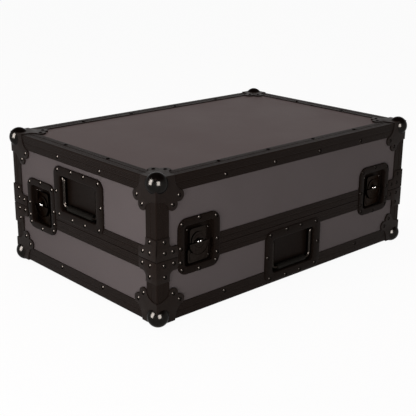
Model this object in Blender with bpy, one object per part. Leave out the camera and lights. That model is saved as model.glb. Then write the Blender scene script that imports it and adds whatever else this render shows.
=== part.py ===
"""Flight case for a disc jockey controller, in metres, +Z up.

A low tray and a deeper lid that lifts off. Laminated panels sit in black aluminium
extrusions, with ball corners, parting-line braces, four recessed butterfly latches,
three recessed sprung handles and a foam bed. The origin is on the floor under the
middle of the case, the front faces -Y and the long side runs along X.
"""

import bpy
import bmesh
from math import acos, cos, pi, radians, sin, sqrt
from mathutils import Matrix, Vector

# Overall size over the extrusions
CASE_LENGTH = 0.7225
CASE_WIDTH = 0.480
BASE_HEIGHT = 0.122
LID_HEIGHT = 0.1545

# Clearances
GAP = 0.0003
SPLIT_GAP = 0.0003
REACH = 0.010
WELD_DISTANCE = 0.00001

# Facets of round shapes
ROUND_PROFILE = 0.5
EDGE_ROUND_SEGMENTS = 2
CORNER_STEPS = 4
SMALL_CORNER_STEPS = 3
LOBE_STEPS = 6
HOLLOW_STEPS = 4
SLOT_STEPS = 8
WING_STEPS = 16
WIRE_RESOLUTION = 3
BALL_SEGMENTS = 20
BALL_RINGS = 10
ROTOR_SIDES = 28
SHAFT_SIDES = 16
BARREL_SIDES = 10
PIN_HOLE_SIDES = 16
GRIP_SIDES = 20

# Panels and extrusions
PANEL_THICKNESS = 0.009
EDGE_LEG = 0.030
EDGE_THICKNESS = 0.0017
EDGE_ROUND = 0.0022
RIM_HEIGHT = 0.0230
RIM_INNER_LEG = 0.0017
TONGUE_WIDTH = 0.0039
TONGUE_HEIGHT = 0.0056
TONGUE_SETBACK = 0.0048
TONGUE_TOP_SPACE = 0.0004
GROOVE_ROOF = 0.0013

# Ball corners
BALL_RADIUS = 0.0205
BALL_INSET = 0.0115
FOOT_FLAT = 0.0004
PLATE_THICKNESS = 0.0011
LEAF_RIVET_NEAR = 0.038
LEAF_RIVET_FAR = 0.053
LEAF_LOBE_RADIUS = 0.0115
LEAF_EDGE_REACH = 0.042
LEAF_NOTCH_WIDTH = 0.029
PAD_INSET = 0.0004

# Corner braces at the parting line
BRACE_REACH = 0.0497
BRACE_POST_WIDTH = 0.0296
BRACE_POST_REACH = 0.0424
BRACE_ARM_HEIGHT = 0.0175
BRACE_CHAMFER = 0.003
BRACE_FILLET = 0.0095

# Latch dish, shared by the lid half and the base half
LATCH_BRACE_SPACE = 0.0044
LATCH_DISH_WIDTH = 0.103
LATCH_DISH_CORNER = 0.020
LATCH_RECESS_WIDTH = 0.073
LATCH_FLANGE_TOP = 0.0145
LATCH_FLANGE_BOTTOM = 0.015
LATCH_RECESS_CORNER = 0.008
LATCH_RIM_SPACE = 0.0001
DISH_WALL = 0.0012
FLANGE_PROUD = 0.0015

# Latch mechanism
ROTOR_RISE = 0.019
ROTOR_RADIUS = 0.017
ROTOR_THICKNESS = 0.0017
SHAFT_RADIUS = 0.006
SLOT_CLEARANCE = 0.0005
WING_AXIS_PROUD = 0.0005
WING_THICKNESS = 0.0018
WING_RADIUS = 0.024
WING_SETBACK = 0.003
WING_NECK = 0.007
WING_BARREL_RADIUS = 0.0013
LUG_WIDTH = 0.003
LUG_HEIGHT = 0.004
LUG_PROUD = 0.0016
HOOK_THICKNESS = 0.0014
HOOK_WIDTH = 0.050
HOOK_NECK_WIDTH = 0.040
HOOK_TOP = 0.025
HOOK_TOP_SPACE = 0.0075
HOOK_LIP_SPACE = 0.0017
HOOK_CORNER = 0.006
HOOK_LIP_WIDTH = 0.036
HOOK_LIP_THICKNESS = 0.002
HOOK_TRAVEL_UP = 0.0030
CATCH_WIDTH = 0.034
CATCH_HEIGHT = 0.005
CATCH_UNDERSIDE = 0.018

# Recessed handles
HANDLE_DISH_WIDTH = 0.1652
HANDLE_DISH_HEIGHT = 0.109
HANDLE_DISH_CORNER = 0.018
HANDLE_RECESS_WIDTH = 0.122
HANDLE_RECESS_UP = 0.036
HANDLE_RECESS_DOWN = 0.0366
HANDLE_RECESS_CORNER = 0.007
HANDLE_RIM_SPACE = 0.00045
HANDLE_FRONT_SETDOWN = 0.0025
BAIL_PIVOT_INSET = 0.0065
BAIL_PIVOT_DEPTH = 0.006
BAIL_WIRE_RADIUS = 0.004
BAIL_SIDE_SPACE = 0.0015
BAIL_TOP_BEND = 0.005
BAIL_LOW_BEND = 0.011
PIN_HOLE_CLEARANCE = 0.0006
GRIP_RADIUS = 0.006
GRIP_END_SPACE = 0.0025
GRIP_FLOOR_SPACE = 0.0008
GRIP_LOW_SPACE = 0.0011

# Foam bed in the tray
FOAM_FLOOR = 0.010
FOAM_WALL = 0.040
FOAM_HEIGHT = 0.050
FOAM_BED_CORNER = 0.012
FOAM_CLEARANCE = 0.0015

# Levels and insets that follow from the sizes above
HALF_LENGTH = CASE_LENGTH / 2
HALF_WIDTH = CASE_WIDTH / 2
CASE_HEIGHT = BASE_HEIGHT + LID_HEIGHT
CASE_BOTTOM = BALL_RADIUS - BALL_INSET - FOOT_FLAT
SPLIT = CASE_BOTTOM + BASE_HEIGHT
CASE_TOP = CASE_BOTTOM + CASE_HEIGHT
PANEL_FACE = EDGE_THICKNESS + GAP
PANEL_BACK = PANEL_FACE + PANEL_THICKNESS
RIM_SLOT_BACK = PANEL_BACK + GAP
RIM_DEPTH = RIM_SLOT_BACK + RIM_INNER_LEG
GROOVE_DEPTH = TONGUE_HEIGHT + TONGUE_TOP_SPACE
RIM_WEB = GROOVE_DEPTH + GROOVE_ROOF
RIM_UPPER = SPLIT + RIM_HEIGHT
RIM_LOWER = SPLIT - RIM_HEIGHT
HALF_SPLIT_GAP = SPLIT_GAP / 2
PLATE_PROUD = PLATE_THICKNESS + GAP
LATCH_FLOOR = RIM_SLOT_BACK - LATCH_RIM_SPACE - DISH_WALL
ROTOR_FRONT = WING_BARREL_RADIUS - WING_AXIS_PROUD + GAP
HOOK_FRONT = ROTOR_FRONT + ROTOR_THICKNESS + GAP
HOOK_TRAVEL_IN = (LATCH_FLOOR - GAP - HOOK_FRONT - HOOK_THICKNESS) / 2
HOOK_BACK_CLOSED = HOOK_FRONT + HOOK_THICKNESS + HOOK_TRAVEL_IN
HOOK_BOTTOM = -CATCH_UNDERSIDE - GAP - HOOK_TRAVEL_UP - HOOK_LIP_THICKNESS - ROTOR_RISE
LATCH_RECESS_RISE = ROTOR_RISE + HOOK_TOP + HOOK_TRAVEL_UP + HOOK_TOP_SPACE
LATCH_RECESS_DROP = -HOOK_BOTTOM - ROTOR_RISE + HOOK_LIP_SPACE
LATCH_DISH_RISE = LATCH_RECESS_RISE + LATCH_FLANGE_TOP
LATCH_DISH_DROP = LATCH_RECESS_DROP + LATCH_FLANGE_BOTTOM
HANDLE_FLOOR = BAIL_PIVOT_DEPTH + GRIP_RADIUS + GRIP_FLOOR_SPACE
HANDLE_BACK = HANDLE_FLOOR + DISH_WALL
HANDLE_END_HEIGHT = RIM_UPPER + HANDLE_RIM_SPACE + DISH_WALL + HANDLE_RECESS_DOWN
HANDLE_FRONT_HEIGHT = CASE_BOTTOM + BASE_HEIGHT / 2 - HANDLE_FRONT_SETDOWN
BAIL_PIVOT_UP = HANDLE_RECESS_UP - BAIL_PIVOT_INSET
BAIL_ARM = HANDLE_RECESS_WIDTH / 2 - BAIL_WIRE_RADIUS - BAIL_SIDE_SPACE
BAIL_DROP = BAIL_PIVOT_UP + HANDLE_RECESS_DOWN - GRIP_RADIUS - GRIP_LOW_SPACE
GRIP_LENGTH = 2 * (BAIL_ARM - BAIL_LOW_BEND - GRIP_END_SPACE)
LATCH_FRONT_X = HALF_LENGTH - BRACE_REACH - GAP - LATCH_DISH_WIDTH / 2
LATCH_END_Y = HALF_WIDTH - BRACE_REACH - LATCH_BRACE_SPACE - LATCH_DISH_WIDTH / 2
HANDLE_END_Y = LATCH_END_Y - LATCH_DISH_WIDTH / 2 - GAP - HANDLE_DISH_WIDTH / 2

# Side name: outward direction and turn about Z that takes the front to that side
SIDE_TURN = {"front": 0.0, "right": pi / 2, "rear": pi, "left": -pi / 2}

MATERIALS = {
    "panel_laminate": ((0.105, 0.095, 0.095), 0.55, 0.0),
    "edge_extrusion": ((0.022, 0.018, 0.016), 0.38, 0.6),
    "corner_steel": ((0.010, 0.009, 0.009), 0.18, 0.4),
    "brace_steel": ((0.028, 0.023, 0.021), 0.36, 0.5),
    "dish_steel": ((0.014, 0.012, 0.011), 0.34, 0.5),
    "latch_steel": ((0.012, 0.011, 0.010), 0.28, 0.6),
    "bail_steel": ((0.030, 0.028, 0.027), 0.30, 0.6),
    "grip_rubber": ((0.016, 0.015, 0.015), 0.70, 0.0),
    "lining_foam": ((0.030, 0.030, 0.032), 0.95, 0.0),
}


def clear_scene():
    """Remove what the scene holds, and what is left of it in the file."""
    for found in list(bpy.data.objects):
        bpy.data.objects.remove(found, do_unlink=True)
    for store in (bpy.data.meshes, bpy.data.curves, bpy.data.materials):
        for block in list(store):
            store.remove(block)
    for group in list(bpy.data.collections):
        bpy.data.collections.remove(group)


def make_collection(name):
    """Return a new collection linked to the scene."""
    group = bpy.data.collections.new(name)
    bpy.context.scene.collection.children.link(group)
    return group


def make_materials():
    """Return one Principled material for each finish."""
    made = {}
    for name, (color, roughness, metallic) in MATERIALS.items():
        material = bpy.data.materials.new(name)
        material.use_nodes = True
        shader = material.node_tree.nodes["Principled BSDF"]
        shader.inputs["Base Color"].default_value = (*color, 1.0)
        shader.inputs["Roughness"].default_value = roughness
        shader.inputs["Metallic"].default_value = metallic
        material.diffuse_color = (*color, 1.0)
        made[name] = material
    return made


def add_piece(name, mesh, finish, parent=None, location=(0, 0, 0), rotation=(0, 0, 0)):
    """Add one visible sub-part with its own mesh and finish."""
    piece = bpy.data.objects.new(name, mesh)
    PARTS.objects.link(piece)
    piece.parent = parent
    piece.location = location
    piece.rotation_euler = rotation
    if not mesh.materials:
        mesh.materials.append(FINISH[finish])
    mesh.shade_smooth()
    mesh.set_sharp_from_angle(angle=radians(35))
    return piece


def add_tool(mesh, parent=None, location=(0, 0, 0), rotation=(0, 0, 0)):
    """Add a hidden shape that cuts or joins a sub-part."""
    tool = bpy.data.objects.new("shape", mesh)
    TOOLS.objects.link(tool)
    tool.parent = parent
    tool.location = location
    tool.rotation_euler = rotation
    tool.hide_render = True
    tool.display_type = "WIRE"
    return tool


def combine(target, tool, operation):
    """Put a Boolean on the target that uses the hidden shape."""
    modifier = target.modifiers.new(operation.lower(), "BOOLEAN")
    modifier.operation = operation
    modifier.solver = "EXACT"
    modifier.object = tool


def cut(target, *tools):
    for tool in tools:
        combine(target, tool, "DIFFERENCE")


def join(target, *tools):
    for tool in tools:
        combine(target, tool, "UNION")


def settled_mesh(name, source):
    """Return the evaluated mesh of an object, and remove the object and its shapes."""
    shapes = [modifier.object for modifier in source.modifiers if modifier.type == "BOOLEAN"]
    bpy.context.view_layer.update()
    depsgraph = bpy.context.evaluated_depsgraph_get()
    mesh = bpy.data.meshes.new_from_object(source.evaluated_get(depsgraph))
    mesh.name = name
    mesh.materials.clear()
    for used in [source, *shapes]:
        bpy.data.objects.remove(used, do_unlink=True)
    return mesh


def box_mesh(low, high):
    """A box between two corners."""
    low, high = Vector(low), Vector(high)
    size = high - low
    bm = bmesh.new()
    bmesh.ops.create_cube(bm, size=1.0)
    bmesh.ops.scale(bm, vec=size, verts=bm.verts)
    bmesh.ops.translate(bm, vec=(low + high) / 2, verts=bm.verts)
    return mesh_from(bm)


def mesh_from(bm):
    """Write a bmesh to a new mesh and free it."""
    mesh = bpy.data.meshes.new("mesh")
    bm.to_mesh(mesh)
    bm.free()
    return mesh


def rounded_box_mesh(low, high, radius, skip_level):
    """A box whose outer edges are rounded, apart from those at one level."""
    mesh = box_mesh(low, high)
    bm = bmesh.new()
    bm.from_mesh(mesh)
    edges = [e for e in bm.edges if not all(abs(v.co.z - skip_level) < GAP for v in e.verts)]
    bmesh.ops.bevel(
        bm, geom=edges, offset=radius, segments=EDGE_ROUND_SEGMENTS, profile=ROUND_PROFILE,
        affect="EDGES",
    )
    bm.to_mesh(mesh)
    bm.free()
    return mesh


def cylinder_mesh(radius, start, end, axis, sides):
    """A cylinder centred on the local origin, from start to end along an axis."""
    bm = bmesh.new()
    bmesh.ops.create_cone(
        bm, cap_ends=True, segments=sides, radius1=radius, radius2=radius, depth=end - start
    )
    bmesh.ops.translate(bm, vec=(0, 0, (start + end) / 2), verts=bm.verts)
    turn = {"X": Matrix.Rotation(pi / 2, 3, "Y"), "Y": Matrix.Rotation(-pi / 2, 3, "X")}
    if axis in turn:
        bmesh.ops.rotate(bm, cent=(0, 0, 0), matrix=turn[axis], verts=bm.verts)
    return mesh_from(bm)


def mesh_of_curve(curve, turn=None):
    """Turn a curve into a closed mesh, after an optional turn of its points."""
    holder = bpy.data.objects.new("curve", curve)
    TOOLS.objects.link(holder)
    bpy.context.view_layer.update()
    depsgraph = bpy.context.evaluated_depsgraph_get()
    mesh = bpy.data.meshes.new_from_object(holder.evaluated_get(depsgraph))
    bpy.data.objects.remove(holder, do_unlink=True)
    bpy.data.curves.remove(curve)
    bm = bmesh.new()
    bm.from_mesh(mesh)
    bmesh.ops.remove_doubles(bm, verts=bm.verts, dist=WELD_DISTANCE)
    if turn is not None:
        bmesh.ops.transform(bm, matrix=turn, verts=bm.verts)
    bmesh.ops.recalc_face_normals(bm, faces=bm.faces)
    bm.to_mesh(mesh)
    bm.free()
    return mesh


def plate_curve(outlines, thickness):
    """A flat curve with holes, filled and as thick as asked."""
    curve = bpy.data.curves.new("plate", "CURVE")
    curve.dimensions = "2D"
    curve.fill_mode = "BOTH"
    curve.extrude = thickness / 2
    for outline in outlines:
        spline = curve.splines.new("POLY")
        spline.points.add(len(outline) - 1)
        for point, (u, v) in zip(spline.points, outline):
            point.co = (u, v, 0, 1)
        spline.use_cyclic_u = True
    return curve


def upright_plate(outlines, front, back):
    """A plate in the XZ plane of a side, from one depth to another along +Y."""
    turn = Matrix.Translation((0, (front + back) / 2, 0)) @ Matrix.Rotation(pi / 2, 4, "X")
    return mesh_of_curve(plate_curve(outlines, back - front), turn)


def level_plate(outlines, bottom, top):
    """A plate in the XY plane, from one height to another."""
    return mesh_of_curve(plate_curve(outlines, top - bottom), Matrix.Translation((0, 0, (bottom + top) / 2)))


def arc(center, radius, start, end, steps):
    """Points on an arc, with angles in radians."""
    cx, cy = center
    angles = [start + (end - start) * step / steps for step in range(steps + 1)]
    return [(cx + radius * cos(angle), cy + radius * sin(angle)) for angle in angles]


def rounded_rectangle(left, right, bottom, top, radius, steps=CORNER_STEPS):
    """Outline of a rectangle with round corners."""
    corners = [
        ((right - radius, bottom + radius), -pi / 2),
        ((right - radius, top - radius), 0.0),
        ((left + radius, top - radius), pi / 2),
        ((left + radius, bottom + radius), pi),
    ]
    points = []
    for center, start in corners:
        points += arc(center, radius, start, start + pi / 2, steps)
    return points


def plan_rectangle(inset):
    """Outline of the case in plan, inset by a distance."""
    x, y = HALF_LENGTH - inset, HALF_WIDTH - inset
    return [(-x, -y), (x, -y), (x, y), (-x, y)]


def plan_ring(outer_inset, inner_inset, bottom, top):
    """A ring that follows the case's sides in plan."""
    return level_plate([plan_rectangle(outer_inset), plan_rectangle(inner_inset)], bottom, top)


def make_station(name, side, along, height=0.0):
    """An empty on the outer plane of a side, with local +Y pointing into the case."""
    station = bpy.data.objects.new(name, None)
    PARTS.objects.link(station)
    station.rotation_euler = (0, 0, SIDE_TURN[side])
    station.location = {
        "front": (along, -HALF_WIDTH, height),
        "rear": (along, HALF_WIDTH, height),
        "left": (-HALF_LENGTH, along, height),
        "right": (HALF_LENGTH, along, height),
    }[side]
    return station


def make_stations():
    """Return the places of the latches, with the side that each is on, and of the handles."""
    latches = {
        "front_left": (make_station("front_left_latch_place", "front", -LATCH_FRONT_X), "front"),
        "front_right": (make_station("front_right_latch_place", "front", LATCH_FRONT_X), "front"),
        "left_end": (make_station("left_end_latch_place", "left", LATCH_END_Y), "left"),
        "right_end": (make_station("right_end_latch_place", "right", LATCH_END_Y), "right"),
    }
    end = (HANDLE_END_Y, HANDLE_END_HEIGHT)
    handles = {
        "left": make_station("left_handle_place", "left", *end),
        "right": make_station("right_handle_place", "right", *end),
        "front": make_station("front_handle_place", "front", 0.0, HANDLE_FRONT_HEIGHT),
    }
    return latches, handles


def latch_opening_tool(station, bottom, top, deepest):
    """A box where the latch dish passes through a wall or an extrusion."""
    half = LATCH_RECESS_WIDTH / 2 + DISH_WALL + GAP
    return add_tool(box_mesh((-half, -REACH, bottom), (half, deepest, top)), parent=station)


def handle_opening_tool(station, deepest):
    """A box where the handle dish passes through a wall or an extrusion."""
    margin = DISH_WALL + GAP
    half = HANDLE_RECESS_WIDTH / 2 + margin
    low = (-half, -REACH, -HANDLE_RECESS_DOWN - margin)
    high = (half, deepest, HANDLE_RECESS_UP + margin)
    return add_tool(box_mesh(low, high), parent=station)


def make_wall_panels(prefix, bottom, top, latches, handles, handle_sides):
    """The four upright panels of one half, cut where dishes pass through them."""
    x, y = HALF_LENGTH - PANEL_FACE, HALF_WIDTH - PANEL_FACE
    inner_y = HALF_WIDTH - PANEL_BACK - GAP
    corners = {
        "front": ((-x, -y, bottom), (x, -y + PANEL_THICKNESS, top)),
        "rear": ((-x, y - PANEL_THICKNESS, bottom), (x, y, top)),
        "left": ((-x, -inner_y, bottom), (-x + PANEL_THICKNESS, inner_y, top)),
        "right": ((x - PANEL_THICKNESS, -inner_y, bottom), (x, inner_y, top)),
    }
    margin = DISH_WALL + GAP
    dish_bottom = SPLIT - LATCH_RECESS_DROP - margin
    dish_top = SPLIT + LATCH_RECESS_RISE + margin
    past_back = PANEL_BACK + REACH
    for side, (low, high) in corners.items():
        panel = add_piece(f"{prefix}_{side}_panel", box_mesh(low, high), "panel_laminate")
        for station, latch_side in latches.values():
            if latch_side == side:
                cut(panel, latch_opening_tool(station, dish_bottom, dish_top, past_back))
        if side in handle_sides:
            cut(panel, handle_opening_tool(handles[side], past_back))


def make_deck_panel(name, bottom, top):
    """The floor panel of the base or the top panel of the lid."""
    x, y = HALF_LENGTH - PANEL_FACE, HALF_WIDTH - PANEL_FACE
    add_piece(name, box_mesh((-x, -y, bottom), (x, y, top)), "panel_laminate")


def make_edge_frame(name, closed_level, open_level):
    """Angle extrusions along one deck's edges, with the four posts, as one welded frame."""
    low, high = sorted((closed_level, open_level))
    toward_open = 1.0 if open_level > closed_level else -1.0
    x, y = HALF_LENGTH, HALF_WIDTH
    outer = rounded_box_mesh((-x, -y, low), (x, y, high), EDGE_ROUND, open_level)
    frame = add_piece(name, outer, "edge_extrusion")

    def opening(inset_x, inset_y, first, second):
        bottom, top = sorted((first, second))
        return add_tool(box_mesh((-x + inset_x, -y + inset_y, bottom), (x - inset_x, y - inset_y, top)))

    inner_level = closed_level + toward_open * EDGE_THICKNESS
    leg_level = closed_level + toward_open * EDGE_LEG
    past_open = open_level + toward_open * REACH
    past_closed = closed_level - toward_open * REACH
    cut(frame, opening(EDGE_THICKNESS, EDGE_THICKNESS, inner_level, past_open))
    cut(frame, opening(EDGE_LEG, -REACH, leg_level, past_open))
    cut(frame, opening(-REACH, EDGE_LEG, leg_level, past_open))
    cut(frame, opening(EDGE_LEG, EDGE_LEG, past_closed, inner_level + toward_open * REACH))
    return frame


def make_base_edge_frame(handles):
    """The lower frame, with a notch for the front handle's dish."""
    frame = make_edge_frame("base_edge_frame", CASE_BOTTOM, RIM_LOWER - GAP)
    cut(frame, handle_opening_tool(handles["front"], PANEL_FACE + GAP))


def make_rims(latches):
    """Parting-line extrusions: a tongue on the base fits a groove in the lid."""
    deepest = RIM_SLOT_BACK + GAP / 2
    tongue_back = TONGUE_SETBACK + TONGUE_WIDTH

    lid_bottom = SPLIT + HALF_SPLIT_GAP
    lid_rim = add_piece("lid_rim", plan_ring(0, RIM_DEPTH, lid_bottom, RIM_UPPER), "edge_extrusion")
    slot = plan_ring(EDGE_THICKNESS, RIM_SLOT_BACK, SPLIT + RIM_WEB, RIM_UPPER + REACH)
    groove = plan_ring(TONGUE_SETBACK - GAP, tongue_back + GAP, SPLIT - REACH, SPLIT + GROOVE_DEPTH)
    cut(lid_rim, add_tool(slot), add_tool(groove))

    base_top = SPLIT - HALF_SPLIT_GAP
    base_rim = add_piece("base_rim", plan_ring(0, RIM_DEPTH, RIM_LOWER, base_top), "edge_extrusion")
    slot = plan_ring(EDGE_THICKNESS, RIM_SLOT_BACK, RIM_LOWER - REACH, SPLIT - RIM_WEB)
    tongue = plan_ring(TONGUE_SETBACK, tongue_back, base_top - TONGUE_WIDTH, SPLIT + TONGUE_HEIGHT)
    cut(base_rim, add_tool(slot))
    join(base_rim, add_tool(tongue))

    for station, _ in latches.values():
        for rim in (lid_rim, base_rim):
            cut(rim, latch_opening_tool(station, RIM_LOWER - REACH, RIM_UPPER + REACH, deepest))


def leaf_outline(inset=0.0):
    """Clover-shaped leaf of a ball corner, as seen on one face, from the case's corner.

    The two lobes are round their rivets, and a straight edge bridges lobes that don't meet.
    A hollow runs from each lobe to the edge.
    """
    radius = LEAF_LOBE_RADIUS - inset
    half_spacing = (LEAF_RIVET_FAR - LEAF_RIVET_NEAR) / 2
    valley = acos(min(half_spacing * sqrt(2) / radius, 1.0))
    shoulder = pi - acos(min((LEAF_RIVET_NEAR - LEAF_NOTCH_WIDTH) / LEAF_LOBE_RADIUS, 1.0))
    return arc((LEAF_RIVET_NEAR, LEAF_RIVET_FAR), radius, shoulder, -pi / 4 + valley, LOBE_STEPS)


def mirrored_across_diagonal(points):
    """The same points with their two coordinates swapped, in reverse order."""
    return [(v, u) for u, v in reversed(points)]


def leaf_plate_outline():
    """The whole leaf on one face, from the outer planes of its neighbours."""
    lobe = leaf_outline()
    rise = lobe[0][1] - LEAF_EDGE_REACH
    hollow = [(-PLATE_PROUD, LEAF_EDGE_REACH)]
    for step in range(HOLLOW_STEPS):
        angle = pi / 2 * step / HOLLOW_STEPS
        hollow.append((LEAF_NOTCH_WIDTH * sin(angle), LEAF_EDGE_REACH + rise * (1 - cos(angle))))
    half = hollow + lobe
    return [(-PLATE_PROUD, -PLATE_PROUD)] + half + mirrored_across_diagonal(half)


def leaf_pad_outline():
    """The part of a leaf that lies over the panel, beside both extrusions."""
    limit = EDGE_LEG + GAP
    lobe = [(u, v) for u, v in leaf_outline(PAD_INSET) if u > limit]
    return [(limit, limit), (limit, lobe[0][1])] + lobe + mirrored_across_diagonal(
        [(limit, lobe[0][1])] + lobe
    )


def face_plates(outline, front, back):
    """Three copies of a plate, one on each face that meets at the corner."""
    flat = level_plate([outline], front, back)
    cycle = Matrix(((0, 0, 1, 0), (1, 0, 0, 0), (0, 1, 0, 0), (0, 0, 0, 1)))
    made = []
    for count in range(3):
        mesh = flat.copy()
        turn = Matrix.Identity(4)
        for _ in range(count):
            turn = cycle @ turn
        mesh.transform(turn)
        made.append(mesh)
    return made


def make_ball_corner_mesh(name, with_foot):
    """A ball corner for the octant where X, Y and Z grow into the case."""
    bm = bmesh.new()
    bmesh.ops.create_uvsphere(
        bm, u_segments=BALL_SEGMENTS, v_segments=BALL_RINGS, radius=BALL_RADIUS
    )
    bmesh.ops.translate(bm, vec=(BALL_INSET,) * 3, verts=bm.verts)
    corner = add_tool(mesh_from(bm))
    for mesh in face_plates(leaf_plate_outline(), -PLATE_PROUD, -GAP / 2):
        join(corner, add_tool(mesh))
    reach = LEAF_RIVET_FAR + 2 * LEAF_LOBE_RADIUS
    cut(corner, add_tool(box_mesh((-GAP,) * 3, (reach,) * 3)))
    for mesh in face_plates(leaf_pad_outline(), -2 * GAP, EDGE_THICKNESS):
        join(corner, add_tool(mesh))
    if with_foot:
        low = (-BALL_RADIUS, -BALL_RADIUS, -2 * BALL_RADIUS)
        high = (2 * BALL_RADIUS, 2 * BALL_RADIUS, -CASE_BOTTOM)
        cut(corner, add_tool(box_mesh(low, high)))
    return settled_mesh(name, corner)


def make_ball_corners():
    """Eight ball corners: the base's four have small worn flats that they stand on."""
    turns = {"front_left": 0, "front_right": 1, "rear_right": 2, "rear_left": 3}
    signs = {"front_left": (-1, -1), "front_right": (1, -1), "rear_right": (1, 1), "rear_left": (-1, 1)}
    base_mesh = make_ball_corner_mesh("base_ball_corner", True)
    lid_mesh = make_ball_corner_mesh("lid_ball_corner", False)
    for place, quarter in turns.items():
        sx, sy = signs[place]
        x, y = sx * HALF_LENGTH, sy * HALF_WIDTH
        angle = quarter * pi / 2
        add_piece(
            f"base_ball_corner_{place}", base_mesh, "corner_steel",
            location=(x, y, CASE_BOTTOM), rotation=(0, 0, angle),
        )
        add_piece(
            f"lid_ball_corner_{place}", lid_mesh, "corner_steel",
            location=(x, y, CASE_TOP), rotation=(pi, 0, angle + pi / 2),
        )


def brace_outline(direction):
    """Outline of a brace on one face, rising with direction +1 or falling with -1.

    u runs from the case's corner along the side, and v from the parting line.
    """
    start = HALF_SPLIT_GAP
    arm = BRACE_ARM_HEIGHT
    rim = RIM_HEIGHT
    fillet_center = (BRACE_POST_WIDTH + BRACE_FILLET, rim + BRACE_FILLET)
    fillet = arc(fillet_center, BRACE_FILLET, -pi / 2, -pi, CORNER_STEPS)
    points = [
        (-PLATE_PROUD, start),
        (BRACE_REACH, start),
        (BRACE_REACH, arm),
        (BRACE_REACH - BRACE_CHAMFER, rim),
    ]
    points += fillet
    points += [(BRACE_POST_WIDTH, BRACE_POST_REACH), (-PLATE_PROUD, BRACE_POST_REACH)]
    return [(u, v * direction) for u, v in points]


def make_brace_mesh(name, direction):
    """A brace that wraps the corner where +X and +Y grow into the case."""
    front = upright_plate([brace_outline(direction)], -PLATE_PROUD, -GAP)
    end = front.copy()
    end.transform(Matrix(((0, 1, 0, 0), (1, 0, 0, 0), (0, 0, 1, 0), (0, 0, 0, 1))))
    end.flip_normals()
    brace = add_tool(front)
    join(brace, add_tool(end))
    return settled_mesh(name, brace)


def make_braces():
    """Eight braces: one above and one below the parting line at each post."""
    corners = {
        "front_left": (-1, -1, 0),
        "front_right": (1, -1, 1),
        "rear_right": (1, 1, 2),
        "rear_left": (-1, 1, 3),
    }
    for half, direction in (("lid", 1), ("base", -1)):
        mesh = make_brace_mesh(f"{half}_corner_brace", direction)
        for place, (sx, sy, quarter) in corners.items():
            add_piece(
                f"{half}_corner_brace_{place}", mesh, "brace_steel",
                location=(sx * HALF_LENGTH, sy * HALF_WIDTH, SPLIT),
                rotation=(0, 0, quarter * pi / 2),
            )


def make_dish(flange, recess, floor, bands):
    """A pressed dish: a flange on the case's face and a recess through the wall.

    The flange is thick where it lies on the panel and thin where it laps an extrusion.
    """
    grown = [
        recess[0] - DISH_WALL, recess[1] + DISH_WALL, recess[2] - DISH_WALL, recess[3] + DISH_WALL
    ]
    dish = add_tool(upright_plate([rounded_rectangle(*flange)], -FLANGE_PROUD, EDGE_THICKNESS))
    cut(dish, bands)
    tub = upright_plate(
        [rounded_rectangle(*grown, recess[4] + DISH_WALL)], -FLANGE_PROUD / 2, floor + DISH_WALL
    )
    hollow = upright_plate([rounded_rectangle(*recess)], -REACH, floor)
    join(dish, add_tool(tub))
    cut(dish, add_tool(hollow))
    return dish


def band_tool(*bands):
    """The space of the extrusions behind a dish's flange, from the levels of each."""
    half = HANDLE_DISH_WIDTH
    bm = bmesh.new()
    for bottom, top in bands:
        bm.from_mesh(box_mesh((-half, -GAP, bottom), (half, REACH, top)))
    return add_tool(mesh_from(bm))


def latch_dish_shape():
    """The whole latch dish, with heights from the parting line."""
    half = LATCH_DISH_WIDTH / 2
    recess_half = LATCH_RECESS_WIDTH / 2
    flange = (-half, half, -LATCH_DISH_DROP, LATCH_DISH_RISE, LATCH_DISH_CORNER)
    recess = (
        -recess_half, recess_half, -LATCH_RECESS_DROP, LATCH_RECESS_RISE, LATCH_RECESS_CORNER
    )
    band = band_tool((-RIM_HEIGHT - GAP, RIM_HEIGHT + GAP))
    return make_dish(flange, recess, LATCH_FLOOR, band)


def half_space_tool(first, second):
    """A box that removes everything between two levels of a dish."""
    half = LATCH_DISH_WIDTH
    depth = LATCH_FLOOR + REACH
    bottom, top = sorted((first, second))
    return add_tool(box_mesh((-half, -depth, bottom), (half, depth, top)))


def catch_mesh():
    """The keeper bar on the base dish's floor, which the hook's lip pulls up against."""
    half = CATCH_WIDTH / 2
    low = (-half, HOOK_BACK_CLOSED + GAP, -CATCH_UNDERSIDE)
    high = (half, LATCH_FLOOR + DISH_WALL / 2, -CATCH_UNDERSIDE + CATCH_HEIGHT)
    return box_mesh(low, high)


def rotor_mesh():
    """The turning disc with its shaft and the two lugs that hold the wing."""
    middle = ROTOR_FRONT + ROTOR_THICKNESS / 2
    disc = cylinder_mesh(ROTOR_RADIUS, ROTOR_FRONT, ROTOR_FRONT + ROTOR_THICKNESS, "Y", ROTOR_SIDES)
    shaft = cylinder_mesh(SHAFT_RADIUS, middle, LATCH_FLOOR - GAP, "Y", SHAFT_SIDES)
    rotor = add_tool(disc)
    join(rotor, add_tool(shaft))
    inner = WING_NECK + GAP
    for side in (-1, 1):
        x0, x1 = sorted((side * inner, side * (inner + LUG_WIDTH)))
        low = (x0, -LUG_PROUD, -LUG_HEIGHT / 2)
        high = (x1, middle, LUG_HEIGHT / 2)
        join(rotor, add_tool(box_mesh(low, high)))
    return settled_mesh("latch_rotor", rotor)


def wing_mesh():
    """The folding half-round wing, hanging from its barrel on the local X axis."""
    half = WING_THICKNESS / 2
    neck = [(WING_NECK, 0.0), (-WING_NECK, 0.0), (-WING_NECK, -WING_SETBACK)]
    bow = arc((0, -WING_SETBACK), WING_RADIUS, pi, 2 * pi, WING_STEPS)
    plate = upright_plate([neck + bow + [(WING_NECK, -WING_SETBACK)]], -half, half)
    wing = add_tool(plate)
    join(wing, add_tool(cylinder_mesh(WING_BARREL_RADIUS, -WING_NECK, WING_NECK, "X", BARREL_SIDES)))
    return settled_mesh("latch_wing", wing)


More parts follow.
